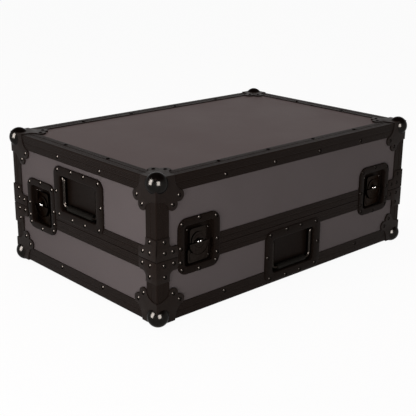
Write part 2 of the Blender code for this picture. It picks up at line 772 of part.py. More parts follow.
def hook_mesh():
    """The hook plate behind the rotor, with its slot and its turned-in lip.

    Released, the tip of the lip stands a gap in front of the keeper bar.
    """
    wide, narrow = HOOK_WIDTH / 2, HOOK_NECK_WIDTH / 2
    waist = -ROTOR_RADIUS

    def corner(x, z, start):
        inner = (x - HOOK_CORNER if x > 0 else x + HOOK_CORNER, z)
        return arc(inner, HOOK_CORNER, start, start + pi / 2, SMALL_CORNER_STEPS)

    outline = corner(narrow, HOOK_TOP - HOOK_CORNER, 0.0)
    outline += corner(-narrow, HOOK_TOP - HOOK_CORNER, pi / 2)
    outline += [(-narrow, waist + HOOK_CORNER), (-wide, waist)]
    outline += corner(-wide, HOOK_BOTTOM + HOOK_CORNER, pi)
    outline += corner(wide, HOOK_BOTTOM + HOOK_CORNER, 3 * pi / 2)
    outline += [(wide, waist), (narrow, waist + HOOK_CORNER)]
    slot_radius = SHAFT_RADIUS + SLOT_CLEARANCE
    slot = arc((0, 0), slot_radius, 0, pi, SLOT_STEPS)
    slot += arc((0, -HOOK_TRAVEL_UP), slot_radius, pi, 2 * pi, SLOT_STEPS)
    hook = add_tool(upright_plate([outline, slot], HOOK_FRONT, HOOK_FRONT + HOOK_THICKNESS))
    half = HOOK_LIP_WIDTH / 2
    low = (-half, HOOK_FRONT + HOOK_THICKNESS / 2, HOOK_BOTTOM)
    high = (half, HOOK_BACK_CLOSED, HOOK_BOTTOM + HOOK_LIP_THICKNESS)
    join(hook, add_tool(box_mesh(low, high)))
    return settled_mesh("latch_hook", hook)


def make_latches(latches):
    """Four latches: two dish halves, a rotor, its folding wing and the hook it drives."""
    whole = latch_dish_shape()
    cut(whole, half_space_tool(HALF_SPLIT_GAP, -2 * LATCH_DISH_DROP))
    lid_dish = settled_mesh("latch_dish", whole)
    whole = latch_dish_shape()
    cut(whole, half_space_tool(-HALF_SPLIT_GAP, 2 * LATCH_DISH_RISE))
    join(whole, add_tool(catch_mesh()))
    base_dish = settled_mesh("catch_dish", whole)
    rotor, wing, hook = rotor_mesh(), wing_mesh(), hook_mesh()
    axis_height = SPLIT + ROTOR_RISE
    for place, (station, _) in latches.items():
        add_piece(f"latch_dish_{place}", lid_dish, "dish_steel", station, (0, 0, SPLIT))
        add_piece(f"catch_dish_{place}", base_dish, "dish_steel", station, (0, 0, SPLIT))
        add_piece(f"latch_hook_{place}", hook, "latch_steel", station, (0, 0, axis_height))
        turning = add_piece(f"latch_rotor_{place}", rotor, "latch_steel", station, (0, 0, axis_height))
        add_piece(f"latch_wing_{place}", wing, "latch_steel", turning, (0, -WING_AXIS_PROUD, 0))


def handle_dish_mesh(name, centre_height, bands):
    """The handle dish with holes for the bail's pins, and its flange stepped over the bands.

    Heights are from the dish's centre, and each band is given by its levels on the case.
    """
    half = HANDLE_DISH_WIDTH / 2
    rise = HANDLE_DISH_HEIGHT / 2
    recess_half = HANDLE_RECESS_WIDTH / 2
    flange = (-half, half, -rise, rise, HANDLE_DISH_CORNER)
    recess = (
        -recess_half, recess_half, -HANDLE_RECESS_DOWN, HANDLE_RECESS_UP, HANDLE_RECESS_CORNER
    )
    levels = [(bottom - centre_height, top - centre_height) for bottom, top in bands]
    dish = make_dish(flange, recess, HANDLE_FLOOR, band_tool(*levels))
    hole_radius = BAIL_WIRE_RADIUS + PIN_HOLE_CLEARANCE
    long_pin = cylinder_mesh(hole_radius, -half, half, "X", PIN_HOLE_SIDES)
    cut(dish, add_tool(long_pin, location=(0, BAIL_PIVOT_DEPTH, BAIL_PIVOT_UP)))
    return settled_mesh(name, dish)


def bail_route():
    """Centre line of the bail in XZ, from its left pin to its right pin."""
    left = [(-HANDLE_RECESS_WIDTH / 2 - DISH_WALL, 0.0)]
    top_center = (-BAIL_ARM - BAIL_TOP_BEND, -BAIL_TOP_BEND)
    left += arc(top_center, BAIL_TOP_BEND, pi / 2, 0, SMALL_CORNER_STEPS)
    low_center = (-BAIL_ARM + BAIL_LOW_BEND, -BAIL_DROP + BAIL_LOW_BEND)
    left += arc(low_center, BAIL_LOW_BEND, pi, 3 * pi / 2, CORNER_STEPS)
    right = [(-x, z) for x, z in reversed(left)]
    return left + right


def bail_mesh():
    """A bent wire bail that turns on its two pins."""
    curve = bpy.data.curves.new("bail", "CURVE")
    curve.dimensions = "3D"
    curve.bevel_depth = BAIL_WIRE_RADIUS
    curve.bevel_resolution = WIRE_RESOLUTION
    curve.use_fill_caps = True
    route = bail_route()
    spline = curve.splines.new("POLY")
    spline.points.add(len(route) - 1)
    for point, (x, z) in zip(spline.points, route):
        point.co = (x, 0, z, 1)
    return mesh_of_curve(curve)


def grip_mesh():
    """The rubber sleeve round the bail's lower bar."""
    half = GRIP_LENGTH / 2
    grip = add_tool(cylinder_mesh(GRIP_RADIUS, -half, half, "X", GRIP_SIDES))
    bore = BAIL_WIRE_RADIUS + 2 * GAP
    cut(grip, add_tool(cylinder_mesh(bore, -half - REACH, half + REACH, "X", GRIP_SIDES)))
    return settled_mesh("handle_grip", grip)


def make_handles(handles):
    """Three handles: the end pair is on the lid and the front one on the base."""
    rim_band = (RIM_LOWER - GAP, RIM_UPPER + GAP)
    top_band = (CASE_TOP - EDGE_LEG - GAP, CASE_TOP + REACH)
    end_dish = handle_dish_mesh("end_handle_dish", HANDLE_END_HEIGHT, [rim_band, top_band])
    bottom_band = (CASE_BOTTOM - REACH, CASE_BOTTOM + EDGE_LEG + GAP)
    front_dish = handle_dish_mesh("front_handle_dish", HANDLE_FRONT_HEIGHT, [rim_band, bottom_band])
    bail, grip = bail_mesh(), grip_mesh()
    for side, station in handles.items():
        dish = front_dish if side == "front" else end_dish
        add_piece(f"{side}_handle_dish", dish, "dish_steel", station)
        pivot = (0, BAIL_PIVOT_DEPTH, BAIL_PIVOT_UP)
        swinging = add_piece(f"{side}_handle_bail", bail, "bail_steel", station, pivot)
        add_piece(f"{side}_handle_grip", grip, "grip_rubber", swinging, (0, 0, -BAIL_DROP))


def make_foam_bed():
    """A foam block on the base's floor, with a bed for the controller."""
    inset = max(HANDLE_BACK, RIM_DEPTH) + FOAM_CLEARANCE
    bottom = CASE_BOTTOM + PANEL_BACK + GAP
    foam = add_piece("base_foam_bed", level_plate([plan_rectangle(inset)], bottom, bottom + FOAM_HEIGHT),
                     "lining_foam")
    x, y = HALF_LENGTH - inset - FOAM_WALL, HALF_WIDTH - inset - FOAM_WALL
    bed = rounded_rectangle(-x, x, -y, y, FOAM_BED_CORNER, SMALL_CORNER_STEPS)
    cut(foam, add_tool(level_plate([bed], bottom + FOAM_FLOOR, bottom + FOAM_HEIGHT + REACH)))


def build_case():
    """Model the whole case."""
    latches, handles = make_stations()
    deck_top = CASE_BOTTOM + PANEL_BACK
    make_deck_panel("base_bottom_panel", CASE_BOTTOM + PANEL_FACE, deck_top)
    make_wall_panels("base", deck_top + GAP, SPLIT - RIM_WEB - GAP, latches, handles, ("front",))
    make_base_edge_frame(handles)
    lid_deck = CASE_TOP - PANEL_BACK
    make_deck_panel("lid_top_panel", lid_deck, CASE_TOP - PANEL_FACE)
    make_wall_panels("lid", SPLIT + RIM_WEB + GAP, lid_deck - GAP, latches, handles, ("left", "right"))
    make_edge_frame("lid_edge_frame", CASE_TOP, RIM_UPPER + GAP)
    make_rims(latches)
    make_ball_corners()
    make_braces()
    make_latches(latches)
    make_handles(handles)
    make_foam_bed()


clear_scene()
PARTS = make_collection("dj_controller_flight_case")
TOOLS = make_collection("cutters")
FINISH = make_materials()
build_case()
bpy.context.view_layer.update()
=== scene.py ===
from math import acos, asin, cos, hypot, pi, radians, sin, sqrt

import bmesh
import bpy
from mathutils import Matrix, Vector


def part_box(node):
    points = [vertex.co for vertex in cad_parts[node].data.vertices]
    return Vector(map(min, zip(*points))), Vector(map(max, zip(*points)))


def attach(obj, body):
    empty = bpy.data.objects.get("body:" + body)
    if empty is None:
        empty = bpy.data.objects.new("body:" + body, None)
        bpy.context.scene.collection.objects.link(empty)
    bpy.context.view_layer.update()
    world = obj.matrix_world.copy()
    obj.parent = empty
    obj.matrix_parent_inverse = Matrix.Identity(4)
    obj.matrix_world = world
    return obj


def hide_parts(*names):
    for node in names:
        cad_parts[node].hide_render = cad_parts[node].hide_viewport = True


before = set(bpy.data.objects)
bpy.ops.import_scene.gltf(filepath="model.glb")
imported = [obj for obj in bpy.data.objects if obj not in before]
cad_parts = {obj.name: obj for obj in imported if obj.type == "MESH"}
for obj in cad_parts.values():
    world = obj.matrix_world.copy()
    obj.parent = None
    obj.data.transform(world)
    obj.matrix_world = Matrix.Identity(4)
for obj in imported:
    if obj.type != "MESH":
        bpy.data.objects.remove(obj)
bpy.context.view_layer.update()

# Looks of the flight case: pressed fittings, ribbed extrusions, finishes, light and camera.
# Lengths are in metres. The origin is on the floor under the middle of the case, the front
# faces -Y and the long side runs along X. A place on a side has its local X to the right
# seen from outside, its local Y inward and its local Z up.

# Levels and outer planes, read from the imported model
SPLIT_GAP = 0.0003
RIM_LOW, RIM_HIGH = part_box("lid_rim")
HALF_LENGTH, HALF_WIDTH = RIM_HIGH.x, RIM_HIGH.y
SPLIT = RIM_LOW.z - SPLIT_GAP / 2
RIM_UPPER = RIM_HIGH.z
RIM_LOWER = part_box("base_rim")[0].z
RIM_HEIGHT = RIM_UPPER - SPLIT
TONGUE_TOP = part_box("base_rim")[1].z
CASE_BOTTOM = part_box("base_edge_frame")[0].z
CASE_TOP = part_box("lid_edge_frame")[1].z
PANEL_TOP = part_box("lid_top_panel")[1].z
PANEL_FACE = CASE_TOP - PANEL_TOP
LID_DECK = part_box("lid_top_panel")[0].z

# Shared: clearance, how far a cutter reaches past its face, the distance that welds points, and
# the rounds on the edges of plates
GAP = 0.0003
REACH = 0.010
WELD = 0.00001
THIN_BEVEL = 0.0003
SHEET_BEVEL = 0.00035
SOFT_BEVEL = 0.0004
PAD_BEVEL = 0.0005
KEEPER_BEVEL = 0.0008

# Extrusions. A rib's shape is in shares of its width and depth
EDGE_LEG = 0.030
EDGE_THICKNESS = 0.0017
EDGE_ROUND = 0.0022
EDGE_END = 0.031
LEG_CHAMFER = 0.0006
RIB_FIRST = 0.0052
RIB_PITCH = 0.0031
RIB_WIDTH = 0.0011
RIB_DEPTH = 0.00035
RIB_SHAPE = ((-0.5, 0.0), (-0.22, 1.0), (0.22, 1.0), (0.5, 0.0))
CENTER_GROOVE = 0.0150
CENTER_GROOVE_WIDTH = 0.0028
CENTER_GROOVE_DEPTH = 0.0006
RIM_SLOT_BACK = 0.0113
RIM_DEPTH = 0.013
RIM_WEB = 0.0073
RIM_CHAMFER = 0.0010
TONGUE_SETBACK = 0.0048
TONGUE_WIDTH = 0.0039
GROOVE_DEPTH = 0.006

# Ball corners: the ball, the leaves, how the sheet between them is smoothed, and how near to the
# ball and to a leaf's face a point lies that is put back on it
BALL_RADIUS = 0.0205
BALL_INSET = 0.0115
PLATE_PROUD = 0.0014
LEAF_RIVET_NEAR = 0.038
LEAF_RIVET_FAR = 0.053
LEAF_LOBE_RADIUS = 0.0115
LEAF_EDGE_REACH = 0.042
LEAF_NOTCH_WIDTH = 0.029
LEAF_BACKING = 0.003
CORNER_VOXEL = 0.0006
CORNER_SMOOTHING = 5
CORNER_RATIO = 0.10
BALL_SNAP = 0.0003
LEAF_SNAP = 0.00016

# Braces
BRACE_REACH = 0.0497
BRACE_POST_WIDTH = 0.0296
BRACE_POST_REACH = 0.0424
BRACE_ARM_HEIGHT = 0.0175
BRACE_CHAMFER = 0.003
BRACE_FILLET = 0.0095
BRACE_POST_ROUND = 0.0026
BRACE_SEAM = 0.0014

# Pressed dishes
DISH_WALL = 0.0012
FLANGE_PROUD = 0.0015
SKIRT_END = 0.0017
FLANGE_ROLL = 0.0014
DISH_LIP = 0.0018
DISH_FILLET = 0.0022
DISH_DRAFT = 0.0004

# Latches: the dish in its two halves
LATCH_LOW, LATCH_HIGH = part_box("latch_dish_front_left")
CATCH_LOW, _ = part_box("catch_dish_front_left")
LATCH_FRONT_X = (LATCH_LOW.x + LATCH_HIGH.x) / 2
LATCH_END_Y = sum(corner.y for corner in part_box("latch_dish_left_end")) / 2
LATCH_HALF = (LATCH_HIGH.x - LATCH_LOW.x) / 2
LATCH_RISE = LATCH_HIGH.z - SPLIT
LATCH_DROP = SPLIT - CATCH_LOW.z
LATCH_CORNER = 0.020
LATCH_RECESS_HALF = 0.0365
LATCH_RECESS_CORNER = 0.008
LATCH_FLANGE_TOP = 0.0145
LATCH_FLANGE_BOTTOM = 0.015
LATCH_FLOOR = LATCH_HIGH.y + HALF_WIDTH - DISH_WALL

# Latches: the rotor, its shaft, and the wing that folds between its lugs
ROTOR_RISE = 0.019
ROTOR_RADIUS = 0.017
ROTOR_FRONT = 0.0011
ROTOR_BACK = 0.0028
ROTOR_ROUND = 0.0007
ROTOR_BULGE = 0.0002
ROTOR_SLOPE = 0.0005
DIMPLE_RADIUS = 0.0052
DIMPLE_DEPTH = 0.0003
RING_GROOVE_INSET = 0.0031
RING_GROOVE_WIDTH = 0.0025
SHAFT_RADIUS = 0.006
WING_AXIS_PROUD = 0.0005
WING_THICKNESS = 0.0018
WING_RADIUS = 0.024
WING_SETBACK = 0.003
WING_NECK = 0.007
WING_BARREL_RADIUS = 0.0013
WING_BEAD_INSET = 0.0022
WING_BEAD_RADIUS = 0.0007
WING_BEAD_END = 0.06
FINGER_LINE_SHARE = 0.45
FINGER_LINE_END = 0.5
WING_HEAD_SPACING = 0.0032
WING_HEAD_RADIUS = 0.0023
WING_HEAD_HEIGHT = 0.0016
WING_HEAD_DROP = 0.0012
LUG_WIDTH = 0.003
LUG_HEIGHT = 0.004
LUG_PROUD = 0.0016

# Latches: the hook plate and the keeper bar that it catches
HOOK_FRONT = 0.0031
HOOK_THICKNESS = 0.0014
HOOK_HALF = 0.025
HOOK_NECK_HALF = 0.020
HOOK_TOP = 0.025
HOOK_BOTTOM = 0.0423
HOOK_CORNER = 0.006
HOOK_TRAVEL_UP = 0.003
HOOK_LIP_HALF = 0.018
HOOK_LIP_BACK = 0.0071
HOOK_LIP_THICKNESS = 0.002
HOOK_PAD_PROUD = 0.0009
HOOK_PAD_INSET = 0.004
HOOK_PAD_DROP = 0.003
HOOK_PAD_CORNER = 0.005
SLOT_RADIUS = 0.0065
CATCH_HALF = 0.017
CATCH_FRONT = 0.0074
CATCH_TOP = -0.013
CATCH_UNDERSIDE = -0.018

# Handles
HANDLE_LOW, HANDLE_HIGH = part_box("front_handle_dish")
END_HANDLE_LOW, END_HANDLE_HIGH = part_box("left_handle_dish")
HANDLE_HALF = (HANDLE_HIGH.x - HANDLE_LOW.x) / 2
HANDLE_RISE = (HANDLE_HIGH.z - HANDLE_LOW.z) / 2
HANDLE_FRONT_HEIGHT = (HANDLE_HIGH.z + HANDLE_LOW.z) / 2
HANDLE_END_HEIGHT = (END_HANDLE_HIGH.z + END_HANDLE_LOW.z) / 2
HANDLE_END_Y = (END_HANDLE_HIGH.y + END_HANDLE_LOW.y) / 2
HANDLE_CORNER = 0.018
HANDLE_RECESS_HALF = 0.061
HANDLE_RECESS_UP = 0.036
HANDLE_RECESS_DOWN = 0.0366
HANDLE_RECESS_CORNER = 0.007
HANDLE_FLOOR = HANDLE_HIGH.y + HALF_WIDTH - DISH_WALL
BAIL_PIVOT_DEPTH = 0.006
BAIL_PIVOT_UP = 0.0295
BAIL_WIRE_RADIUS = 0.004
BAIL_ARM = 0.0555
BAIL_DROP = 0.059
BAIL_TOP_BEND = 0.005
BAIL_LOW_BEND = 0.011
PIN_HOLE_RADIUS = 0.0046
BUSH_RADIUS = 0.0064
BUSH_PROUD = 0.0009
GRIP_RADIUS = 0.006
GRIP_LENGTH = 0.084
GRIP_END = 0.0012
GRIP_ROUND = 0.0005
GRIP_CHAMFER = 0.0007
GRIP_SKIN = 0.0002
GRIP_STEPS = 84
GRIP_RING_STEPS = 12 / 7
GRIP_RING_DEPTH = 0.00022
GRIP_RINGED = (0.10, 0.86)

# Foam
FOAM_EDGE = 0.004
FOAM_WALL = 0.040
FOAM_FLOOR = 0.010
FOAM_CORNER = 1.05 * FOAM_EDGE
FOAM_BED_CORNER = 0.012
LID_FOAM_INSET = 0.0165
LID_FOAM_THICKNESS = 0.020
LID_FOAM_WAVE = 0.0045
LID_FOAM_PITCH = 0.034
LID_FOAM_STEP = 0.0068

# Surroundings: the elevations between which the seen sky turns from white to grey
WORLD_LEVEL = 0.20
SKY_WHITE = 8.0
SKY_GREY = 38.0
SKY_TOP = (0.24, 0.175, 0.160)
FLOOR_GLOW = 0.95
FLOOR_TONE = 0.92
FLOOR_DROP = 0.0001
FLOOR_SIZE = 30.0

# Soft boxes: azimuth, elevation, distance, width, height, level and tint
WHITE = (1.0, 1.0, 1.0)
PLAIN_BOXES = {
    "left_box": (-70, 4, 1.3, 0.50, 0.60, 0.59, (1.0, 0.98, 0.99)),
    "front_box": (-14, 14, 4.0, 1.2, 1.4, 0.17, WHITE),
    "overhead_box": (-150, 76, 2.6, 2.4, 2.0, 0.52, (1.0, 0.80, 0.77)),
}
SHINE_BOXES = {
    "left_shine": (-104, 17, 4.0, 2.1, 3.6, 8.0, WHITE),
    "front_shine": (-22, 14, 4.0, 2.0, 2.9, 5.2, WHITE),
}

# Camera, at the photograph's viewpoint: angles in degrees, focal length and sensor in millimetres
CAMERA_AZIMUTH, CAMERA_ELEVATION, CAMERA_ROLL = -42.50, 18.15, 0.46
CAMERA_PLACE = (-1.27394, -1.37008, 0.71010)
CAMERA_LENS, CAMERA_SENSOR = 76.03, 36.0

# Tint of the sheen on the black coatings
WARM = (1.0, 0.80, 0.70)

# Finishes of the round pieces that mirror the two tall boxes
GLINTING = ("corner_steel", "rivet_steel", "bail_steel", "painted_glint_steel")

# Paints: dark tone, light tone, roughness, its spread, specular level and relief
PAINTED = {
    "corner_leaf": ((0.0090, 0.0062, 0.0050), (0.0145, 0.0105, 0.0088), 0.40, 0.05, 0.05, 0.08),
    "brace_steel": ((0.0105, 0.0074, 0.0060), (0.0165, 0.0120, 0.0100), 0.42, 0.05, 0.035, 0.10),
    "dish_steel": ((0.0058, 0.0037, 0.0028), (0.0094, 0.0063, 0.0048), 0.36, 0.05, 0.025, 0.08),
}

# Platings: dark tone, light tone, roughness, its spread and the tint of the edge sheen
PLATED = {
    "corner_steel": ((0.0095, 0.0086, 0.0078), (0.0140, 0.0127, 0.0117), 0.17, 0.03, 0.60),
    "rivet_steel": ((0.0110, 0.0092, 0.0080), (0.0160, 0.0136, 0.0122), 0.15, 0.03, 0.20),
    "latch_steel": ((0.0100, 0.0077, 0.0064), (0.0170, 0.0133, 0.0112), 0.25, 0.05, 0.40),
    "bail_steel": ((0.0120, 0.0100, 0.0086), (0.0180, 0.0152, 0.0134), 0.24, 0.04, 0.30),
    # The wing heads' light metal colour is a painted highlight, standing in for glints of the lamps on
    # the latch's centre
    "painted_glint_steel": ((0.2600, 0.2450, 0.2350), (0.3600, 0.3450, 0.3350), 0.22, 0.04, 0.70),
}

# Rivets: places on a fitting or along a strip, as (right, up) or distances
RIVET_RADIUS = 0.0040
RIVET_HEIGHT = 0.0014
EDGE_RIVET_INSET = 0.0215
LONG_RIVET_FIRST = 0.168
LONG_RIVET_PITCH = 0.1325
LONG_RIVET_COUNT = 4
SHORT_RIVETS = (-0.073, 0.068)
LATCH_RIVETS = (
    (0.042, 0.059), (-0.042, 0.059), (0.0, 0.0645), (0.045, 0.013), (-0.045, 0.013),
    (0.045, -0.014), (-0.045, -0.014), (0.042, -0.029), (-0.042, -0.029), (0.0, -0.0355),
)
INNER_RIVETS = ((-0.030, 0.0415), (-0.0215, 0.0415), (0.030, 0.037), (0.032, -0.019))
INNER_RIVET_RADIUS = 0.0021
INNER_RIVET_HEIGHT = 0.0016
DOME_SUNK = 0.0002
HANDLE_RIVETS = (
    (0.0685, 0.0464), (-0.0685, 0.0464), (0.021, 0.0494), (-0.021, 0.0494), (0.0755, 0.0),
    (-0.0755, 0.0), (0.0682, -0.0466), (-0.0682, -0.0466), (0.0215, -0.0492), (-0.0215, -0.0492),
)
UPPER_BRACE_RIVETS = ((0.018, 0.035), (0.0185, 0.014), (0.038, 0.013))
LOWER_BRACE_RIVETS = ((0.040, -0.010), (0.0176, -0.010), (0.0187, -0.032))
LEAF_RIVETS = ((LEAF_RIVET_FAR, LEAF_RIVET_NEAR), (LEAF_RIVET_NEAR, LEAF_RIVET_FAR))

CORNERS = {
    "front_left": (-1, -1, 0), "front_right": (1, -1, 1),
    "rear_right": (1, 1, 2), "rear_left": (-1, 1, 3),
}


# Mesh helpers

def mesh_from(bm):
    """Write a bmesh to a new mesh with its faces pointing out, and free it."""
    bmesh.ops.recalc_face_normals(bm, faces=bm.faces)
    mesh = bpy.data.meshes.new("mesh")
    bm.to_mesh(mesh)
    bm.free()
    return mesh


def welded(mesh):
    """A copy of a mesh with the points that lie together joined."""
    bm = bmesh.new()
    bm.from_mesh(mesh)
    bmesh.ops.remove_doubles(bm, verts=bm.verts, dist=WELD)
    return mesh_from(bm)


def linked(name, data):
    """A new object in the scene that holds some data."""
    holder = bpy.data.objects.new(name, data)
    bpy.context.scene.collection.objects.link(holder)
    return holder


def merged(*placed):
    """Join meshes into one, each given alone or with its matrix."""
    bm = bmesh.new()
    for item in placed:
        mesh, place = item if isinstance(item, tuple) else (item, Matrix.Identity(4))
        copy = mesh.copy()
        copy.transform(place)
        bm.from_mesh(copy)
        bpy.data.meshes.remove(copy)
    mesh = bpy.data.meshes.new("joined")
    bm.to_mesh(mesh)
    bm.free()
    return mesh


def evaluated(mesh, prepare):
    """Return a mesh after the modifiers that prepare puts on an object that holds it."""
    holder = linked("holder", mesh)
    tools = prepare(holder) or []
    bpy.context.view_layer.update()
    depsgraph = bpy.context.evaluated_depsgraph_get()
    made = bpy.data.meshes.new_from_object(holder.evaluated_get(depsgraph))
    for used in [holder, *tools]:
        bpy.data.objects.remove(used, do_unlink=True)
    return made


def cut(mesh, *shapes):
    """A mesh with shapes cut out of it."""
    def prepare(holder):
        tools = []
        for shape in shapes:
            tool = linked("tool", shape)
            modifier = holder.modifiers.new("shape", "BOOLEAN")
            modifier.operation = "DIFFERENCE"
            modifier.solver = "EXACT"
            modifier.object = tool
            tools.append(tool)
        return tools
    return evaluated(mesh, prepare)


def beveled(mesh, width, segments):
    """Round the sharp edges of a mesh."""
    def prepare(holder):
        modifier = holder.modifiers.new("round", "BEVEL")
        modifier.width = width
        modifier.segments = segments
        modifier.limit_method = "ANGLE"
        modifier.angle_limit = radians(30)
    return evaluated(mesh, prepare)


def block(low, high):
    """A box between two corners, for cutting or for rounding later."""
    low, high = Vector(low), Vector(high)
    bm = bmesh.new()
    bmesh.ops.create_cube(bm, size=1.0)
    bmesh.ops.scale(bm, vec=high - low, verts=bm.verts)
    bmesh.ops.translate(bm, vec=(low + high) / 2, verts=bm.verts)
    return mesh_from(bm)


def arc(center, radius, start, end, steps):
    """Points on an arc, with angles in radians."""
    turns = [start + (end - start) * step / steps for step in range(steps + 1)]
    return [(center[0] + radius * cos(turn), center[1] + radius * sin(turn)) for turn in turns]


def rounded_rectangle(left, right, bottom, top, radius, steps=8):
    """Outline of a rectangle with round corners."""
    corners = (
        ((right - radius, bottom + radius), -pi / 2), ((right - radius, top - radius), 0.0),
        ((left + radius, top - radius), pi / 2), ((left + radius, bottom + radius), pi),
    )
    points = []
    for center, start in corners:
        points += arc(center, radius, start, start + pi / 2, steps)
    return points


# Turns of a flat outline: to face -Y, and to each of the three faces that meet at a corner
UPRIGHT = Matrix(((1, 0, 0, 0), (0, 0, 1, 0), (0, 1, 0, 0), (0, 0, 0, 1)))
SIDEWAYS = Matrix(((0, 0, 1, 0), (1, 0, 0, 0), (0, 1, 0, 0), (0, 0, 0, 1)))
THREE_FACES = (Matrix.Identity(4), SIDEWAYS, SIDEWAYS @ SIDEWAYS)

# Steps of a quarter turn
QUARTER = [pi / 2 * step / 4 for step in range(5)]


def plate(outlines, low, high, bevel, turn=UPRIGHT):
    """A flat plate with rounded edges between two depths, from outlines in its own plane."""
    curve = bpy.data.curves.new("plate", "CURVE")
    curve.dimensions = "2D"
    curve.fill_mode = "BOTH"
    curve.extrude = (high - low) / 2 - bevel
    curve.bevel_depth = bevel
    curve.bevel_resolution = 2
    curve.offset = -bevel
    for outline in outlines:
        spline = curve.splines.new("POLY")
        spline.points.add(len(outline) - 1)
        for point, (u, v) in zip(spline.points, outline):
            point.co = (u, v, 0, 1)
        spline.use_cyclic_u = True
    mesh = curve_mesh(curve)
    mesh.transform(turn @ Matrix.Translation((0, 0, (low + high) / 2)))
    bm = bmesh.new()
    bm.from_mesh(mesh)
    return mesh_from(bm)


def curve_mesh(curve):
    """Turn a curve into a welded mesh."""
    holder = linked("curve", curve)
    bpy.context.view_layer.update()
    mesh = bpy.data.meshes.new_from_object(
        holder.evaluated_get(bpy.context.evaluated_depsgraph_get())
    )
    bpy.data.objects.remove(holder, do_unlink=True)
    bpy.data.curves.remove(curve)
    return welded(mesh)


def wire(points, radius, resolution):
    """A round wire with flat ends along points."""
    curve = bpy.data.curves.new("wire", "CURVE")
    curve.dimensions = "3D"
    curve.bevel_depth = radius
    curve.bevel_resolution = resolution
    curve.use_fill_caps = True
    spline = curve.splines.new("POLY")
    spline.points.add(len(points) - 1)
    for point, place in zip(spline.points, points):
        point.co = (*place, 1)
    return curve_mesh(curve)


def turned(profile, axis, steps):
    """A solid of revolution about the X or Y axis, from (radius, distance along it) points."""
    bm = bmesh.new()
    rings = []
    for radius, along in profile:
        count = 1 if radius == 0 else steps
        ring = []
        for step in range(count):
            angle = 2 * pi * step / steps
            across, up = radius * cos(angle), radius * sin(angle)
            ring.append(bm.verts.new((along, across, up) if axis == "X" else (across, along, up)))
        rings.append(ring)
    for first, second in zip(rings, rings[1:]):
        for step in range(steps):
            following = (step + 1) % steps
            corners = [
                first[step % len(first)], first[following % len(first)],
                second[following % len(second)], second[step % len(second)],
            ]
            bm.faces.new(list(dict.fromkeys(corners)))
    return mesh_from(bm)


def loft(bm, loops):
    """Bridge a list of vertex loops with quads."""
    for first, second in zip(loops, loops[1:]):
        for step in range(len(first)):
            following = (step + 1) % len(first)
            bm.faces.new((first[step], first[following], second[following], second[step]))


def station(side, along, height=0.0):
    """Place on a side of the case, or on its top or bottom where height is the Y position."""
    if side in ("top", "bottom"):
        level = CASE_TOP if side == "top" else CASE_BOTTOM
        turn = -pi / 2 if side == "top" else pi / 2
        return Matrix.Translation((along, height, level)) @ Matrix.Rotation(turn, 4, "X")
    turn, x, y = {
        "front": (0.0, along, -HALF_WIDTH), "rear": (pi, along, HALF_WIDTH),
        "left": (-pi / 2, -HALF_LENGTH, along), "right": (pi / 2, HALF_LENGTH, along),
    }[side]
    return Matrix.Translation((x, y, height)) @ Matrix.Rotation(turn, 4, "Z")


def add(name, mesh, finish, body, place=None, stands_for=(), sharp=radians(32)):
    """Add a piece with its finish, in its place on a body, for the nodes that it stands for."""
    piece = linked(name, mesh)
    if place is not None:
        piece.matrix_world = place
    if not mesh.materials:
        mesh.materials.append(FINISH[finish])
        mesh.shade_smooth()
        mesh.set_sharp_from_angle(angle=sharp)
    if finish in GLINTING:
        GLINTING_PIECES.objects.link(piece)
    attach(piece, body)
    if stands_for:
        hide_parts(*stands_for)
    return piece


# Finishes

def new_finish(name, roughness, specular, tint=WHITE):
    """A Principled material, its node tree and the object's own coordinates in it."""
    material = bpy.data.materials.new(name)
    material.use_nodes = True
    tree = material.node_tree
    shader = tree.nodes["Principled BSDF"]
    shader.inputs["Roughness"].default_value = roughness
    shader.inputs["Specular IOR Level"].default_value = specular
    shader.inputs["Specular Tint"].default_value = (*tint, 1.0)
    return material, tree, tree.nodes.new("ShaderNodeTexCoord").outputs["Object"]


def noise(tree, vector, scale, detail=3.0, rough=0.55):
    """Fractal noise from 0 to 1."""
    texture = tree.nodes.new("ShaderNodeTexNoise")
    for name, number in (("Scale", scale), ("Detail", detail), ("Roughness", rough)):
        texture.inputs[name].default_value = number
    tree.links.new(vector, texture.inputs["Vector"])
    return texture.outputs["Fac"]


def remap(tree, value, low, high, start=0.3, end=0.7):
    """Map a value's range to another."""
    node = tree.nodes.new("ShaderNodeMapRange")
    for name, number in zip(("From Min", "From Max", "To Min", "To Max"), (start, end, low, high)):
        node.inputs[name].default_value = number
    tree.links.new(value, node.inputs["Value"])
    return node.outputs["Result"]


def blend_colors(tree, factor, first, second):
    """A colour between two, by a factor."""
    node = tree.nodes.new("ShaderNodeMix")
    node.data_type = "RGBA"
    sockets = {entry.identifier: entry for entry in [*node.inputs, *node.outputs]}
    for name, color in (("A_Color", first), ("B_Color", second)):
        if isinstance(color, tuple):
            sockets[name].default_value = (*color, 1.0)
        else:
            tree.links.new(color, sockets[name])
    tree.links.new(factor, sockets["Factor_Float"])
    return sockets["Result_Color"]


def dressed(material, color, roughness, height, strength, distance):
    """Link a finish's colour and roughness, if any, and give it relief from a height."""
    tree = material.node_tree
    shader = tree.nodes["Principled BSDF"]
    tree.links.new(color, shader.inputs["Base Color"])
    if roughness:
        tree.links.new(roughness, shader.inputs["Roughness"])
    node = tree.nodes.new("ShaderNodeBump")
    node.inputs["Strength"].default_value = strength
    node.inputs["Distance"].default_value = distance
    tree.links.new(height, node.inputs["Height"])
    tree.links.new(node.outputs["Normal"], shader.inputs["Normal"])
    return material


